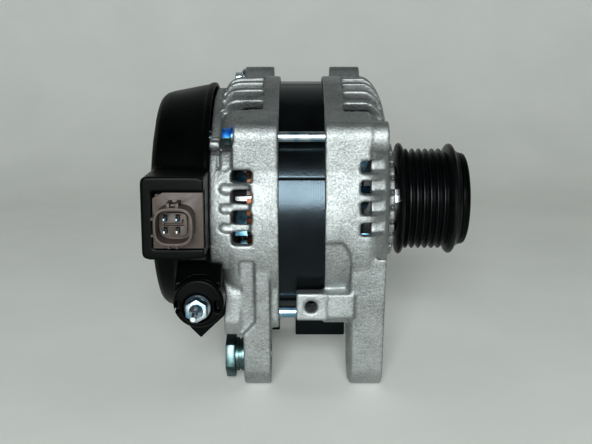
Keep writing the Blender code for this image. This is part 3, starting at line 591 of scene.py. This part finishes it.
def conductor(start_x, end_x, radius, lean):
    """One flat conductor that leaves the stack, leans along the crown and ends in a welded tip."""
    rings = []
    for share, turned_by in ((0.0, 0.0), (0.22, 0.0), (0.4, 0.14), (0.8, 0.86), (0.9, 1.0), (1.0, 1.0)):
        x = start_x + (end_x - start_x) * share
        y, z = polar(lean * turned_by, 1.0)
        out = Vector((0, y, z))
        side = Vector((0, -z, y))
        half = 1.25 if share < 0.95 else 1.0
        corners = ((-0.85, -half), (0.85, -half), (0.85, half), (-0.85, half))
        rings.append([Vector((x, 0, 0)) + out * (radius + a) + side * b for a, b in corners])
    bm = bmesh.new()
    add_loft(bm, rings)
    return made("conductor", bm, 30)


CONDUCTORS = 72
crowns = []
for radius, lean in ((51.4, -13), (53.4, 13), (55.4, -13)):
    crowns.append(round_shaft(conductor(-13.0, -25.4, radius, lean), CONDUCTORS, enamel))
    crowns.append(round_shaft(conductor(15.0, 27.6, radius, -lean), CONDUCTORS, enamel))
dress(merged("stator_conductors", *crowns), enamel, "copper", "housing", "stator_winding")

# ---------------------------------------------------------------- front bracket
# The drive-end housing is cast like the rear one. It is domed towards the pulley, with windows all round, a
# castellated boss over the bearing, the front pivot ear, the brace's boss on its near side and a foot behind.

crown = [(32.0 + 13.4 * sin(radians(a)), 38.0 + 28.0 * cos(radians(a))) for a in range(0, 85, 10)]
dome = [(13, 0), (12.1, DRUM_R), *crown, (45.8, 36.0), (45.8, 30.4), (49.6, 30.4), (49.6, 0)]
front = turned("front_bracket_casting", dome)
join(
    front,
    bolt_lobe("upper_near", 12.2, 34.0),
    bolt_lobe("upper_near", 20.0, 42.5, 7.4, 6),
    bolt_lobe("lower_near", 12.2, 40.0, 5.4, 12),
    bolt_lobe("top", 17.0, 33.4, 7.5, 8),
    bolt_lobe("lower_far", 12.2, 33.4, spread=10),
    prism("leg", leg_outline(EAR_R), 26.2, 42.4),
    prism("thigh", leg_outline(EAR_R - 2.4), 25.0, 41.4),
    slab("arm", (13.4, 27), ((-59.4, -37.9), (-58.2, -50.6), (-30, -38), (-30, -56))),
    slab("side_boss", (-1.5, 13.4), ((-60.0, -37.3), (-59.2, -51.2), (-30, -37.3), (-45, -55.0), (-30, -56))),
    slab("foot_root", (-1.9, 27.9), FOOT_ROOT),
)
cavity = [
    (-10, 0), (-10, SEAT_R), (17.2, SEAT_R), (17.2, CAVITY_R), (34.6, CAVITY_R), (34.6, 53), (40.2, 48),
    (40.2, 29.5), (32.6, 29.5), (32.6, 0),
]
cut(
    front,
    turned("cavity", cavity, start=1.1),
    turned("bearing_seat", [(30, 0), (48.3, 0), (48.3, 23.8), (30, 23.8)], 64, start=3.7),
    turned("shaft_way", [(30, 0), (60, 0), (60, 14), (30, 14)], 48, start=1.9),
)
window = [(29.2, 50), (34.4, 50), (34.4, 57.6), (41.2, 56.2), (47, 56.2), (47, 90), (29.2, 90)]
slot = [(21.6, 50), (34.4, 50), (34.4, 55.8), (47, 54.8), (47, 90), (21.6, 90)]
cut(
    front,
    slot_cutter("windows", window, [a for a in slot_angles(-3.8, 60) if a < 26]),
    slot_cutter("slots", slot, slot_angles(52.0, 204)),
)
bm = bmesh.new()
for i in range(12):
    add_prism(bm, sector(33.5, 48.5, 30 * i - 9.5, 30 * i + 9.5, 6), 37, 50)
cut(front, made("face_windows", bm))
bm = bmesh.new()
for i in range(24):
    add_prism(bm, sector(27.6, 40, 15 * i - 2.6, 15 * i + 2.6, 1), 47.0, 52)
cut(front, made("castellations", bm), bolt_holes(-10, 60))
screw_holes = bmesh.new()
for i in range(3):
    add_prism(screw_holes, circle(polar(120 * i + 30, 27.0), 1.7, 16), 30, 40)
bore = [(-61.5, 0), (-61.5, 4.3), (-60.1, 4.3), (-58.6, 2.9), (-20, 2.9), (-20, 0)]
above_boss = [(11, -10.9), (21.0, -10.9), (24.0, -15.5), (25.4, -22), (25.0, -30), (23.6, -37.0), (11, -37.0)]
hollow = prism("hollow", above_boss, -90, -40, "Y")
cut(hollow, turned("under", [(5, 0), (5, 64.9), (16, 64.7), (30, 63.6), (30, 0)], start=2.6))
cut(
    front,
    prism("ear_bore", circle(EAR_YZ, 5.2, 40), 0, 60),
    turned("side_hole", bore, 40, "Y", (5.8, 0, -44.4)),
    hollow,
    slab("groove", (13.1, 14.0), ((-62, -30), (-59.2, -30), (-59.2, -60), (-62, -60))),
    made("screw_holes", screw_holes),
)
as_moulded(front, 0.8, 5)
dress(front, cast_aluminium, "cast", "housing", "front_bracket")

# ---------------------------------------------------------------- far feet
# Two blocks under the far side, one below each bracket, in the same black lacquer as the stator: painted
# shade, dark pieces put where the far side lies in shadow under the alternator. The front one reaches the
# ground with the ears.

FEET = {"far_foot_front": ((-1.9, 27.9), -92.05), "far_foot_rear": ((-26.9, -11.5), -89.0)}
# Each block is painted shade in the stator's black lacquer.
for name, (span, bottom) in FEET.items():
    foot = slab(f"{name}_block", span, ((42.1, bottom), (59.9, bottom), (40.6, -66.4), (61.4, -66.4)))
    dress(rounded(foot, 0.8, 3), lacquer, "lacquer", "housing", name)

# ---------------------------------------------------------------- rotor
# A forged claw-pole rotor on a steel shaft. The field coil sits between the poles, a pressed fan is welded to
# each end, and two copper rings at the rear feed the coil.

# Turned and ground steel: bright, with fine rings from the tool, drawn 0.5 mm apart so that they show.
ground_steel, tree, shader, place = surface("ground_steel", 0.28, 1.0)
split = add(tree, "ShaderNodeSeparateXYZ", {"Vector": place})
along = add(tree, "ShaderNodeCombineXYZ", {"X": split.outputs["X"]})
rings = mottled(tree, shader, along.outputs[0], 0.5, 2.0, "8f9295", "c6c9cb")
lines = add(tree, "ShaderNodeBump", {"Height": rings, "Strength": 0.15, "Distance": 0.05 * MM})
tree.links.new(lines.outputs["Normal"], shader.inputs["Normal"])

# Forged steel poles dipped in dark varnish: satin, uneven, near black.
varnish, tree, shader, place = surface("varnished_forged_steel", 0.5, 0.6)
cloud = mottled(tree, shader, place, 6, 4.0, "151414", "3a3634")
scale = add(tree, "ShaderNodeBump", {"Height": cloud, "Strength": 0.3, "Distance": 0.3 * MM})
tree.links.new(scale.outputs["Normal"], shader.inputs["Normal"])

# Pressed steel with a blue passivated zinc coat: teal, with the coat's cloudy colour shift.
blue_zinc, tree, shader, place = surface("blue_passivated_steel", 0.34, 0.75)
cloud = mottled(tree, shader, place, 9, 3.0, "1d4a61", "a3cfdf", 0.35, 0.7)
press = add(tree, "ShaderNodeBump", {"Height": cloud, "Strength": 0.1, "Distance": 0.2 * MM})
tree.links.new(press.outputs["Normal"], shader.inputs["Normal"])


def finish_nodes(finish, slot, *names):
    """Gives CAD nodes that stay in view their material."""
    for name in names:
        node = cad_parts[name]
        node.data.materials.clear()
        node.data.materials.append(finish)


def fan_blade(plate_x, tip_x, lean):
    """A blade bent up from the fan's disc, curved like a scoop."""
    bm = bmesh.new()
    rings = []
    slant = radians(30 if lean > 0 else -30)
    for i in range(7):
        share = i / 6
        out = Vector((0, *polar(lean * (share**1.4), 1.0)))
        side = Vector((0, *polar(lean * (share**1.4) + 90, 1.0)))
        centre = out * (32.4 + 10.6 * share)
        across = (side * cos(radians(30)) - out * sin(slant)) * 0.55
        tip = plate_x + (tip_x - plate_x) * (0.82 + 0.18 * sin(pi * min(1, share * 1.4) / 2))
        corners = ((plate_x, -1), (tip, -1), (tip, 1), (plate_x, 1))
        rings.append([Vector((x, 0, 0)) + centre + across * face for x, face in corners])
    add_loft(bm, rings)
    return made("blade", bm, 50)


FAN_BLADES = 11
for name, plate, tip, lean in (("front_fan", 22.2, 35.4, 17), ("rear_fan", -20.0, -32.2, -17)):
    side = 1 if tip > plate else -1
    back = plate - side * 0.6
    face = plate + side * 0.6
    disc = turned("disc", [(back, 12), (face, 12), (face, 30), (face, 43.2), (back, 43.2)])
    blades = round_shaft(fan_blade(plate, tip, lean), FAN_BLADES, blue_zinc)
    dress(merged(f"{name}_pressing", disc, blades), blue_zinc, "fan_blue", "rotor", name)

finish_nodes(varnish, "lacquer", "claw_pole_front", "claw_pole_rear")
finish_nodes(enamel, "copper", "field_coil", "slip_ring_inner", "slip_ring_outer")
finish_nodes(ground_steel, "steel", "rotor_shaft", "pulley_hub", "clutch_cage")

# ---------------------------------------------------------------- bearings
# Deep-groove ball bearings of ground steel, pressed into the brackets. The balls run in their cage between
# two races, and a pressed plate with three screws keeps the front bearing in.

finish_nodes(ground_steel, "steel", "front_bearing_outer", "front_bearing_inner", "front_bearing_balls")
finish_nodes(ground_steel, "steel", "rear_bearing_outer", "rear_bearing_inner", "rear_bearing_balls")


def plated(name, low, high, sharp, dull):
    """Zinc plate whose chromate drifts slowly between two colours, and whose gloss is worn in patches."""
    material, tree, shader, place = surface(name, dull, 1.0)
    mottled(tree, shader, place, 7, 3.0, low, high, 0.36, 0.6)
    wear = add(tree, "ShaderNodeTexNoise", {"Vector": place, "Scale": 1 / (0.8 * MM), "Detail": 3.0})
    wear = wear.outputs["Fac"]
    polish = add(
        tree,
        "ShaderNodeMapRange",
        {"Value": wear, "From Min": 0.35, "From Max": 0.7, "To Min": sharp, "To Max": dull},
    )
    marks = add(tree, "ShaderNodeBump", {"Height": wear, "Strength": 0.25, "Distance": 0.08 * MM})
    tree.links.new(polish.outputs["Result"], shader.inputs["Roughness"])
    tree.links.new(marks.outputs["Normal"], shader.inputs["Normal"])
    return material


# Zinc plate with a clear blue chromate: near-mirror flats with a slow drift from silver to sky blue.
zinc = plated("blue_chromate_zinc_plate", "86a8bd", "ced8da", 0.28, 0.46)
# The same plate on forgings: greyer, greener and less glossy. On the upper near bolt's head it is also painted
# shade, on the faces that do not point up.
dull_zinc_and_painted_shade = plated("zinc_plated_forging_and_painted_shade", "3c5352", "75898a", 0.36, 0.52)
finish_nodes(zinc, "zinc", "bearing_retainer", "retainer_screw_1", "retainer_screw_2", "retainer_screw_3")

# ---------------------------------------------------------------- through bolts
# Four long M5 bolts draw the brackets together over the stator. Their hexagon heads, with a flange rolled on,
# pull on the rear bracket, and their plated shanks cross the bare stator.

# Blue passivate stronger than the shanks', put only on the upward faces of one head as a painted highlight.
painted_highlight_blue_head, tree, shader, place = surface("blue_passivate_painted_highlight_head", 0.3, 0.7)
drift = mottled(tree, shader, place, 5, 2.0, "0b4fb4", "3f93dc", 0.4, 0.65)
dents = add(tree, "ShaderNodeBump", {"Height": drift, "Strength": 0.2, "Distance": 0.1 * MM})
tree.links.new(dents.outputs["Normal"], shader.inputs["Normal"])


def hexagon(centre, across_flats, turned_by=0.0):
    return circle(centre, across_flats / 2 / cos(pi / 6), 6, radians(turned_by))


# The upper near bolt's head is painted lit and shaded: its upward faces get the strong blue as a painted
# highlight, and its other faces get the dull zinc as painted shade.
head_edge = SHAFT.x - 31.2 * MM
for name, angle in BOLTS.items():
    centre = polar(angle, BOLT_CIRCLE_R)
    end = 42.8 if "near" in name else 33.8
    line, radius = centre, 2.45
    if name == "lower_near":
        radius = 3.0
    if name == "top":
        line, radius = polar(angle, 65.2), 1.7
    rod = [(-34, 0), (-34, radius), (end - 0.5, radius), (end, radius - 0.5), (end, 0)]
    shank = turned("shank", rod, 32, centre=(0, *line))
    seat, wide = (-30.1, 6.3) if name == "top" else (-31.4, 4.8)
    head = rounded(prism("head", hexagon(centre, 7.9, angle + 30), seat - 5.4, seat - 1.0), 0.5)
    rim = [(seat - 1.6, 0), (seat - 1.6, wide - 0.9), (seat - 1.0, wide), (seat, wide), (seat, 0)]
    flange = turned("flange", rim, 40, centre=(0, *centre))
    bolt = merged(f"bolt_{name}", shank, head, flange)
    dress(bolt, zinc, "zinc", "housing", f"through_bolt_{name}")
    bolt.data.materials.append(painted_highlight_blue_head)
    bolt.data.materials.append(dull_zinc_and_painted_shade)
    for face in bolt.data.polygons:
        if name == "upper_near" and face.center.x < head_edge:
            face.material_index = 1 if face.normal.z > 0.3 else 2

# ---------------------------------------------------------------- rectifier, regulator and brushes
# Inside the rear cover: two aluminium heat sinks with pressed-in diodes, the moulded regulator, and the brush
# holder over the slip rings, each brush pushed down by its spring.

# Moulded glass-filled nylon: satin black, with the leathery skin of the tool, drawn 1.2 mm coarse.
nylon, tree, shader, place = surface("moulded_black_nylon", 0.42, 0.0, Specular_IOR_Level=0.1)
skin = add(
    tree,
    "ShaderNodeTexNoise",
    {"Vector": place, "Scale": 1 / (1.2 * MM), "Detail": 3.0, "Roughness": 0.6},
)
haze = mottled(tree, shader, place, 22, 4.0, "030404", "080a0a", 0.35, 0.7)
sheen = add(
    tree,
    "ShaderNodeMapRange",
    {"Value": haze, "From Min": 0.3, "From Max": 0.7, "To Min": 0.28, "To Max": 0.4},
)
pores = add(tree, "ShaderNodeBump", {"Height": skin.outputs["Fac"], "Strength": 0.18, "Distance": 0.08 * MM})
tree.links.new(sheen.outputs["Result"], shader.inputs["Roughness"])
tree.links.new(pores.outputs["Normal"], shader.inputs["Normal"])

# Pressed carbon-copper brush: dull, dark, with fine grit.
carbon, tree, shader, place = surface("pressed_carbon", 0.75, 0.1)
mottled(tree, shader, place, 0.6, 3.0, "1d1b1a", "4a423c")

finish_nodes(cast_aluminium, "cast", "heatsink_positive", "heatsink_negative")
finish_nodes(nylon, "black", "rectifier_insulator", "voltage_regulator", "brush_holder")
for sign in ("positive", "negative"):
    finish_nodes(ground_steel, "steel", *[f"diode_{sign}_{i}" for i in (1, 2, 3)])
finish_nodes(carbon, "carbon", "brush_inner", "brush_outer")

# The brush springs are coils of 0.9 mm wire, which shorten as the brush under them is pushed up its channel.
COIL_TURNS = 8
COIL_R = 1.2
COIL_WIRE_R = 0.45
wire = [(cos(radians(a)), sin(radians(a))) for a in range(0, 360, 45)]
for side, x in (("inner", -54.45), ("outer", -62.55)):
    bm = bmesh.new()
    rings = []
    for i in range(COIL_TURNS * 20 + 1):
        out = Vector((cos(radians(18 * i)), sin(radians(18 * i)), 0))
        middle = Vector((x, 0, 22.3 + 10.2 * i / (COIL_TURNS * 20))) + out * COIL_R
        rings.append([middle + (out * c + Vector((0, 0, s))) * COIL_WIRE_R for c, s in wire])
    add_loft(bm, rings)
    spring = dress(made(f"coil_spring_{side}", bm), zinc, "zinc", "housing", f"brush_spring_{side}")
    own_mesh(spring)

# ---------------------------------------------------------------- rear cover
# An injection-moulded cap over the electrics, held by three screws. Louvres in its back draw the air in, a
# square hood shields the plug, and a lobe below it carries the output stud.

STUD = (-47.8, -39.1)
DISC = (-47.3, -37.0)
body = [
    (-43.7, 0), (-43.7, 62.7), (-46.4, 62.7), (-46.9, 61.9), (-66.7, 58.1), (-69.7, 57.1), (-71.8, 55.2),
    (-72.6, 52.4), (-72.6, 0),
]
cover = turned("rear_cover_moulding", body)
HOOD_X = (-71.7, -41.5)
HOOD_Z = (-14.1, 24.0)
HOOD_CORNER_R = 3.2
hood_points = [(HOOD_X[1], HOOD_Z[0] + 1), (HOOD_X[1], HOOD_Z[1] - 1), (-50, HOOD_Z[0]), (-50, HOOD_Z[1])]
for z in (HOOD_Z[0] + HOOD_CORNER_R, HOOD_Z[1] - HOOD_CORNER_R):
    hood_points += circle((HOOD_X[0] + HOOD_CORNER_R, z), HOOD_CORNER_R, 24)
    hood_points += circle((HOOD_X[1] - 1.0, z), 1.0, 24)
hood_outline = hull(hood_points)
join(
    cover,
    prism("hood", hood_outline, -85.9, -60, "Y"),
    prism("neck", hood_outline, -62, -40, "Y"),
    slab("lobe", (-60.5, -44.0), ((-62.5, -33), (-60.5, -47), (-44, -52), (-50, -20), (-62.5, -20))),
    box("tower", (-58.8, -64.5, -45), (-44, -45, -17)),
)
inside = [(-42.5, 0), (-42.5, 60.4), (-46.9, 60.2), (-66.7, 56.3), (-70.9, 52.4), (-70.9, 0)]
cut(
    cover,
    turned("inside", inside, start=1.1),
    box("hood_inside", (-70.0, -81.6, -12.4), (-43.6, -40, 22.3)),
    box("hood_window", (-66.5, -87, -9.1), (-43.1, -80, 17.2)),
    prism("stud_way", circle(STUD, 3.6, 24), -70, -30, "Y"),
    turned("mouth", [(-44.5, 0), (-44.5, 60.2), (-30, 60.2), (-30, 0)], start=2.1),
    box("seam", (-43.2, -90, -18), (-30, -20, 60)),
)
# The tower slopes down to the output stud, round its insulator.
slope = ((-63.5, -20.3), (-66.5, -20.3), (-76.5, -27.5), (-76.5, -36), (-63.5, -36))
wedge = slab("wedge", (-58.8, -36.8), slope)
cut(wedge, prism("disc_way", circle(DISC, 12.1, 48), -80, -60, "Y"))
join(cover, wedge)
# A well for the head of each screw, and four groups of louvres.
wells = bmesh.new()
pockets = bmesh.new()
holes = bmesh.new()
for angle in COVER_SCREWS:
    centre = polar(angle, COVER_SCREW_CIRCLE_R)
    add_prism(wells, circle(centre, 9.0, 32), -71.7, -60.4)
    add_prism(pockets, circle(centre, 7.2, 32), -74, -62)
    add_prism(holes, circle(centre, 2.9, 20), -64, -50)
join(cover, made("wells", wells))
cut(cover, made("pockets", pockets), made("holes", holes))
bm = bmesh.new()
for start, end in ((74, 118), (152, 196), (214, 284), (-36, 30)):
    for i in range(int((end - start) // 11) + 1):
        y, z = polar(start + 11 * i, 1.0)
        out = Vector((y, z))
        side = Vector((-z, y)) * 2.0
        louvre = [tuple(out * r + side * s) for r, s in ((22, -1), (42, -1), (42, 1), (22, 1))]
        add_prism(bm, louvre, -74, -69)
cut(cover, made("louvres", bm))
as_moulded(cover, 0.75, 3)
dress(cover, nylon, "black", "housing", "rear_cover")

rim = [(-63.8, 0), (-63.8, 4.6), (-63.0, 5.8), (-62.3, 5.8), (-62.3, 0)]
for index, angle in enumerate(COVER_SCREWS, 1):
    centre = polar(angle, COVER_SCREW_CIRCLE_R)
    head = rounded(prism("head", hexagon(centre, 8.0, angle), -67.8, -63.0), 0.5)
    shank = turned("shank", [(-64.4, 0), (-64.4, 2.4), (-36.6, 2.4), (-36.6, 0)], 24, centre=(0, *centre))
    flange = turned("flange", rim, 40, centre=(0, *centre))
    screw = merged(f"cover_flange_screw_{index}", shank, head, flange)
    dress(screw, zinc, "zinc", "housing", f"cover_screw_{index}")

# ---------------------------------------------------------------- plug socket
# The regulator's socket comes out through the hood: a flat plate with a thin oval shell round four tinned
# pins, moulded in grey-brown nylon, with keys on the shell for the plug.

# Grey-brown nylon: matt and warm, with slight flow marks from the mould.
socket_nylon, tree, shader, place = surface("moulded_taupe_nylon", 0.5, 0.0, Specular_IOR_Level=0.4)
skin = add(tree, "ShaderNodeTexNoise", {"Vector": place, "Scale": 1 / (0.9 * MM), "Detail": 3.0})
mottled(tree, shader, place, 7, 5.0, "413a35", "594f48", 0.3, 0.65, 0.6)
matt = add(tree, "ShaderNodeBump", {"Height": skin.outputs["Fac"], "Strength": 0.15, "Distance": 0.06 * MM})
tree.links.new(matt.outputs["Normal"], shader.inputs["Normal"])

SOCKET = (-55.6, 3.3)
PINS = (-57.1, 3.3)


def squarish(centre, width, height, power, count=48):
    """A rounded oblong, between an ellipse and a rectangle."""
    points = []
    for i in range(count):
        t = 2 * pi * i / count
        c, s = cos(t), sin(t)
        reach = (abs(c) ** power + abs(s) ** power) ** (-1 / power)
        points.append((centre[0] + width / 2 * c * reach, centre[1] + height / 2 * s * reach))
    return points


plate_outline = [(-66.1, -8.7), (-43.5, -8.7), (-43.5, 16.8), (-61.4, 16.8), (-66.1, 14.2)]
socket = prism("plug_socket", plate_outline, -86.3, -82.1, "Y")
join(
    socket,
    box("throat", (-65.4, -82.7, -7.5), (-47.7, -57.3, 15.5)),
    prism("shell", squarish(SOCKET, 17.4, 17.0, 3.2), -97.9, -84, "Y"),
    box("top_key_1", (-58.6, -96.0, 11.2), (-57.2, -84.5, 13.6)),
    box("top_key_2", (-54.6, -96.0, 11.2), (-53.2, -84.5, 13.6)),
    box("top_key_web", (-58.6, -92.0, 11.2), (-53.2, -84.5, 12.6)),
    box("low_key_1", (-58.2, -97.0, -6.5), (-57.1, -84.5, -4.6)),
    box("low_key_2", (-54.7, -97.0, -6.5), (-53.6, -84.5, -4.6)),
    box("side_key_1", (-65.4, -97.0, 6.2), (-63.6, -84.5, 7.2)),
    box("side_key_2", (-65.4, -97.0, -1.3), (-63.6, -84.5, -0.3)),
)
cut(socket, prism("well", squarish(SOCKET, 15.2, 14.8, 3.2), -99, -86.8, "Y"))
core_outline = squarish((SOCKET[0] - 0.3, SOCKET[1] - 0.6), 11.4, 11.0, 5.0)
join(socket, prism("core", core_outline, -89.6, -85, "Y"))
pin_places = [(PINS[0] + i * 2.8, PINS[1] + j * 2.8) for j in (1, -1) for i in (-1, 1)]
ways = bmesh.new()
for x, z in pin_places:
    way = [(x + a, z + c) for a, c in ((-0.9, -1.5), (0.9, -1.5), (0.9, 1.5), (-0.9, 1.5))]
    add_prism(ways, way, -91, -83, "Y")
cut(
    socket,
    made("pin_ways", ways),
    box("slit", (PINS[0] - 3.6, -91, PINS[1] - 1.0), (PINS[0] + 5.4, -87.2, PINS[1] + 0.2)),
    box("slit_end", (PINS[0] + 4.6, -91, PINS[1] - 1.0), (PINS[0] + 5.5, -87.2, PINS[1] + 1.8)),
)
rounded(socket, 0.25, 2, 50)
dress(socket, socket_nylon, "grey", "housing", "regulator_connector")

for index, (x, z) in enumerate(pin_places, 1):
    blade = [(x + a, -94.9, z + c) for a, c in ((-0.3, -0.5), (0.3, -0.5), (0.3, 0.5), (-0.3, 0.5))]
    blade += [(x + a, y, z + c) for y in (-93.6, -83.4) for a in (-0.5, 0.5) for c in (-1.0, 1.0)]
    dress(block(f"tinned_pin_{index}", blade), zinc, "zinc", "housing", f"connector_pin_{index}")

# ---------------------------------------------------------------- output stud
# The rectifier's M6 stud leaves the cover through a moulded insulator with a recess for the cable's eye. A
# flanged nut, zinc plated like the stud, waits on it.

boss = [(-61.4, 0), (-61.4, 11.9), (-77.6, 11.9), (-78.9, 11.0), (-78.9, 0)]
insulator = turned("output_insulator", boss, 64, "Y", (DISC[0], 0, DISC[1]))
point = [(STUD[0] + x, STUD[1] + z) for x, z in ((-11, -7), (0, -18.6), (12, -7))]
join(insulator, prism("lip", hull(circle(DISC, 12.2, 40) + point), -66.0, -61.4, "Y"))
cut(insulator, prism("recess", circle(STUD, 7.2, 40), -80, -77.2, "Y"))
for side in (-1, 1):
    ends = [(STUD[0] + side * 9.2, STUD[1] + 2.2), (STUD[0] + side * 9.4, STUD[1] - 1.0)]
    cut(insulator, prism("slot", hull(circle(ends[0], 1.4, 16) + circle(ends[1], 1.4, 16)), -80, -73.5, "Y"))
cut(insulator, prism("way", circle(STUD, 3.6, 24), -90, -50, "Y"))
as_moulded(insulator, 0.4, 3)
dress(insulator, nylon, "black", "housing", "b_plus_insulator")

THREAD_PITCH = 1.0
thread = [(-96.9, 0), (-96.9, 1.1), (-96.3, 1.5), (-87.6, 1.5), (-86.9, 2.4)]
for i in range(17):
    y = -86.4 + i * THREAD_PITCH
    thread += [(y, 2.98), (y + THREAD_PITCH / 2, 2.55)]
thread += [(-69, 2.9), (-36.5, 2.9), (-36.5, 4.9), (-33.6, 4.9), (-33.6, 0)]
stud = turned("output_stud", thread, 32, "Y", (STUD[0], 0, STUD[1]))
dress(stud, zinc, "zinc", "housing", "b_plus_stud")
nut = rounded(prism("output_nut", hexagon(STUD, 9.9, 30), -84.4, -78.4, "Y"), 0.6)
rim = [(-79.4, 0), (-79.4, 5.0), (-78.4, 6.2), (-77.8, 6.2), (-77.8, 0)]
join(nut, turned("flange", rim, 48, "Y", (STUD[0], 0, STUD[1])))
cut(nut, prism("bore", circle(STUD, 3.3, 32), -100, -70, "Y"))
dress(nut, zinc, "zinc", "housing", "b_plus_nut")

# ---------------------------------------------------------------- pivot bush
# A steel bush drawn through the rear ear when the pivot bolt is tightened, so that the alternator clamps its
# bracket without bending. Its hexagon is forged, its collar is turned with a groove, and it is zinc plated.

bush = rounded(prism("pivot_bush_hexagon", hexagon(EAR_YZ, 20.8, 18), -37.8, -32.8), 0.7)
collar = [
    (-33.0, 0), (-33.0, 8.7), (-31.2, 8.7), (-30.9, 7.9), (-30.1, 7.9), (-29.8, 8.7), (-28.5, 8.7),
    (-28.5, 7.7), (-14.6, 7.7), (-14.6, 0),
]
join(bush, turned("collar", collar, 64, centre=(0, *EAR_YZ)))
cut(bush, prism("bore", circle(EAR_YZ, 5.25, 40), -60, 0))
dress(bush, dull_zinc_and_painted_shade, "zinc", "housing", "pivot_bush")

# ---------------------------------------------------------------- pulley
# A steel pulley turned with seven V grooves for the ribbed belt, 3.56 mm apart, between two flanges, and
# coated black. It overruns on the one-way clutch inside, which a moulded cap seals.

# Black electro-coat on turned steel: smooth and semi-gloss, with faint rings from the tool under it.
e_coat, tree, shader, place = surface("black_electro_coated_steel", 0.3, 0.0, Specular_IOR_Level=0.35)
split = add(tree, "ShaderNodeSeparateXYZ", {"Vector": place})
along = add(tree, "ShaderNodeCombineXYZ", {"X": split.outputs["X"]})
rings = add(tree, "ShaderNodeTexNoise", {"Vector": along.outputs[0], "Scale": 1 / (0.7 * MM), "Detail": 2.0})
mottled(tree, shader, place, 6, 4.0, "060708", "0e1112", 0.35, 0.72)
lines = add(tree, "ShaderNodeBump", {"Height": rings.outputs["Fac"], "Strength": 0.12, "Distance": 0.06 * MM})
tree.links.new(lines.outputs["Normal"], shader.inputs["Normal"])

RIB_PITCH = 3.56
GROOVES = 7
FIRST_RIB = 57.9
profile = [(52.5, 17.8), (52.5, 26.8), (53.0, 29.6), (53.8, 30.25), (54.8, 30.0), (55.6, 28.6)]
for i in range(GROOVES):
    valley = FIRST_RIB + RIB_PITCH * (i - 0.5)
    profile += [(valley - 0.35, 24.75), (valley, 24.55), (valley + 0.35, 24.75)]
    if i < GROOVES - 1:
        crest = valley + RIB_PITCH / 2
        profile += [(crest - 0.5, 26.85), (crest - 0.2, 27.15), (crest + 0.2, 27.15), (crest + 0.5, 26.85)]
profile += [(79.7, 28.8), (80.4, 29.6), (81.3, 29.9), (82.2, 29.6), (83.0, 28.4), (83.6, 26.6)]
profile += [(85.1, 25.9), (85.1, 17.8)]
dress(turned("ribbed_pulley", profile, 128), e_coat, "pulley_black", "pulley", "pulley")

cap = [
    (85.6, 0), (85.6, 25.1), (86.6, 25.1), (86.9, 24.8), (88.2, 24.8), (89.0, 24.3), (89.5, 23.3),
    (89.5, 21.0), (88.9, 20.2), (88.9, 8.0), (89.4, 7.2), (89.4, 0),
]
dress(turned("clutch_cap", cap, 96), nylon, "black", "pulley", "pulley_cap")

# ---------------------------------------------------------------- studio
# A sheet of pale card lies under the alternator and sweeps up behind it. A soft light from above the camera
# makes the short highlights, and two weak ones fill the sides.

# Matt grey-white card, faintly mottled, that glows faintly in its own colour: painted light, which brightens
# the card and lights the alternator from below.
card, tree, shader, place = surface("matt_card_with_painted_glow", 0.85, Emission_Strength=0.16)
mottled(tree, shader, place, 90, 4.0, "d3d6d2", "dfe1dd")
# The painted glow: the card's emission takes its colour.
tree.links.new(shader.inputs["Base Color"].links[0].from_socket, shader.inputs["Emission Color"])

REACH = 2.6
BEND_FROM = 0.55
BEND_R = 0.5
bm = bmesh.new()
bend = [(BEND_FROM + BEND_R * sin(radians(a)), BEND_R - BEND_R * cos(radians(a))) for a in range(10, 91, 10)]
line = [(-REACH, 0.0), (BEND_FROM, 0.0), *bend, (BEND_FROM + BEND_R, REACH)]
left = [bm.verts.new((-REACH, y, z)) for y, z in line]
right = [bm.verts.new((REACH, y, z)) for y, z in line]
for i in range(len(line) - 1):
    bm.faces.new((left[i], right[i], right[i + 1], left[i + 1]))
sheet = bpy.data.meshes.new("card_sweep")
bm.to_mesh(sheet)
bm.free()
sheet.shade_smooth()
floor = bpy.data.objects.new("card_sweep", sheet)
floor.data.materials.append(card)
bpy.context.scene.collection.objects.link(floor)


def light(name, where, width, height, watts):
    """A soft rectangular light in the studio, in metres from the stator's middle, turned towards it."""
    lamp = bpy.data.lights.new(name, "AREA")
    lamp.shape = "RECTANGLE"
    lamp.size = width
    lamp.size_y = height
    lamp.energy = watts
    obj = bpy.data.objects.new(name, lamp)
    bpy.context.scene.collection.objects.link(obj)
    obj.location = SHAFT + Vector(where)
    obj.rotation_euler = (-Vector(where)).to_track_quat("-Z", "Y").to_euler()
    obj.visible_camera = False
    lamp.color = (0.96, 0.99, 1.0)


light("left_fill", (-1.2, 0.5, 0.4), 0.8, 0.8, 1.3)
light("right_fill", (1.2, 0.2, 0.4), 0.8, 0.8, 1.3)
light("key", (-0.05, -1.3, 0.35), 0.45, 0.62, 25)

world = bpy.data.worlds.new("studio")
world.use_nodes = True
air = world.node_tree.nodes["Background"].inputs
air["Color"].default_value = linear("c8ccce")
air["Strength"].default_value = 0.07
scene = bpy.context.scene
scene.world = world
scene.view_settings.view_transform = "Standard"
scene.view_settings.gamma = 0.8

# The camera stands half a metre off on the plug's side, a little above the shaft, and looks down 11 degrees.
camera_data = bpy.data.cameras.new("camera")
camera_data.lens = 53.3
camera_data.sensor_width = 36
camera = bpy.data.objects.new("camera", camera_data)
camera.location = SHAFT + Vector((-1.6, -473.7, 78.8)) * MM
camera.rotation_euler = (radians(90 - 11), 0, 0)
scene.collection.objects.link(camera)
scene.camera = camera
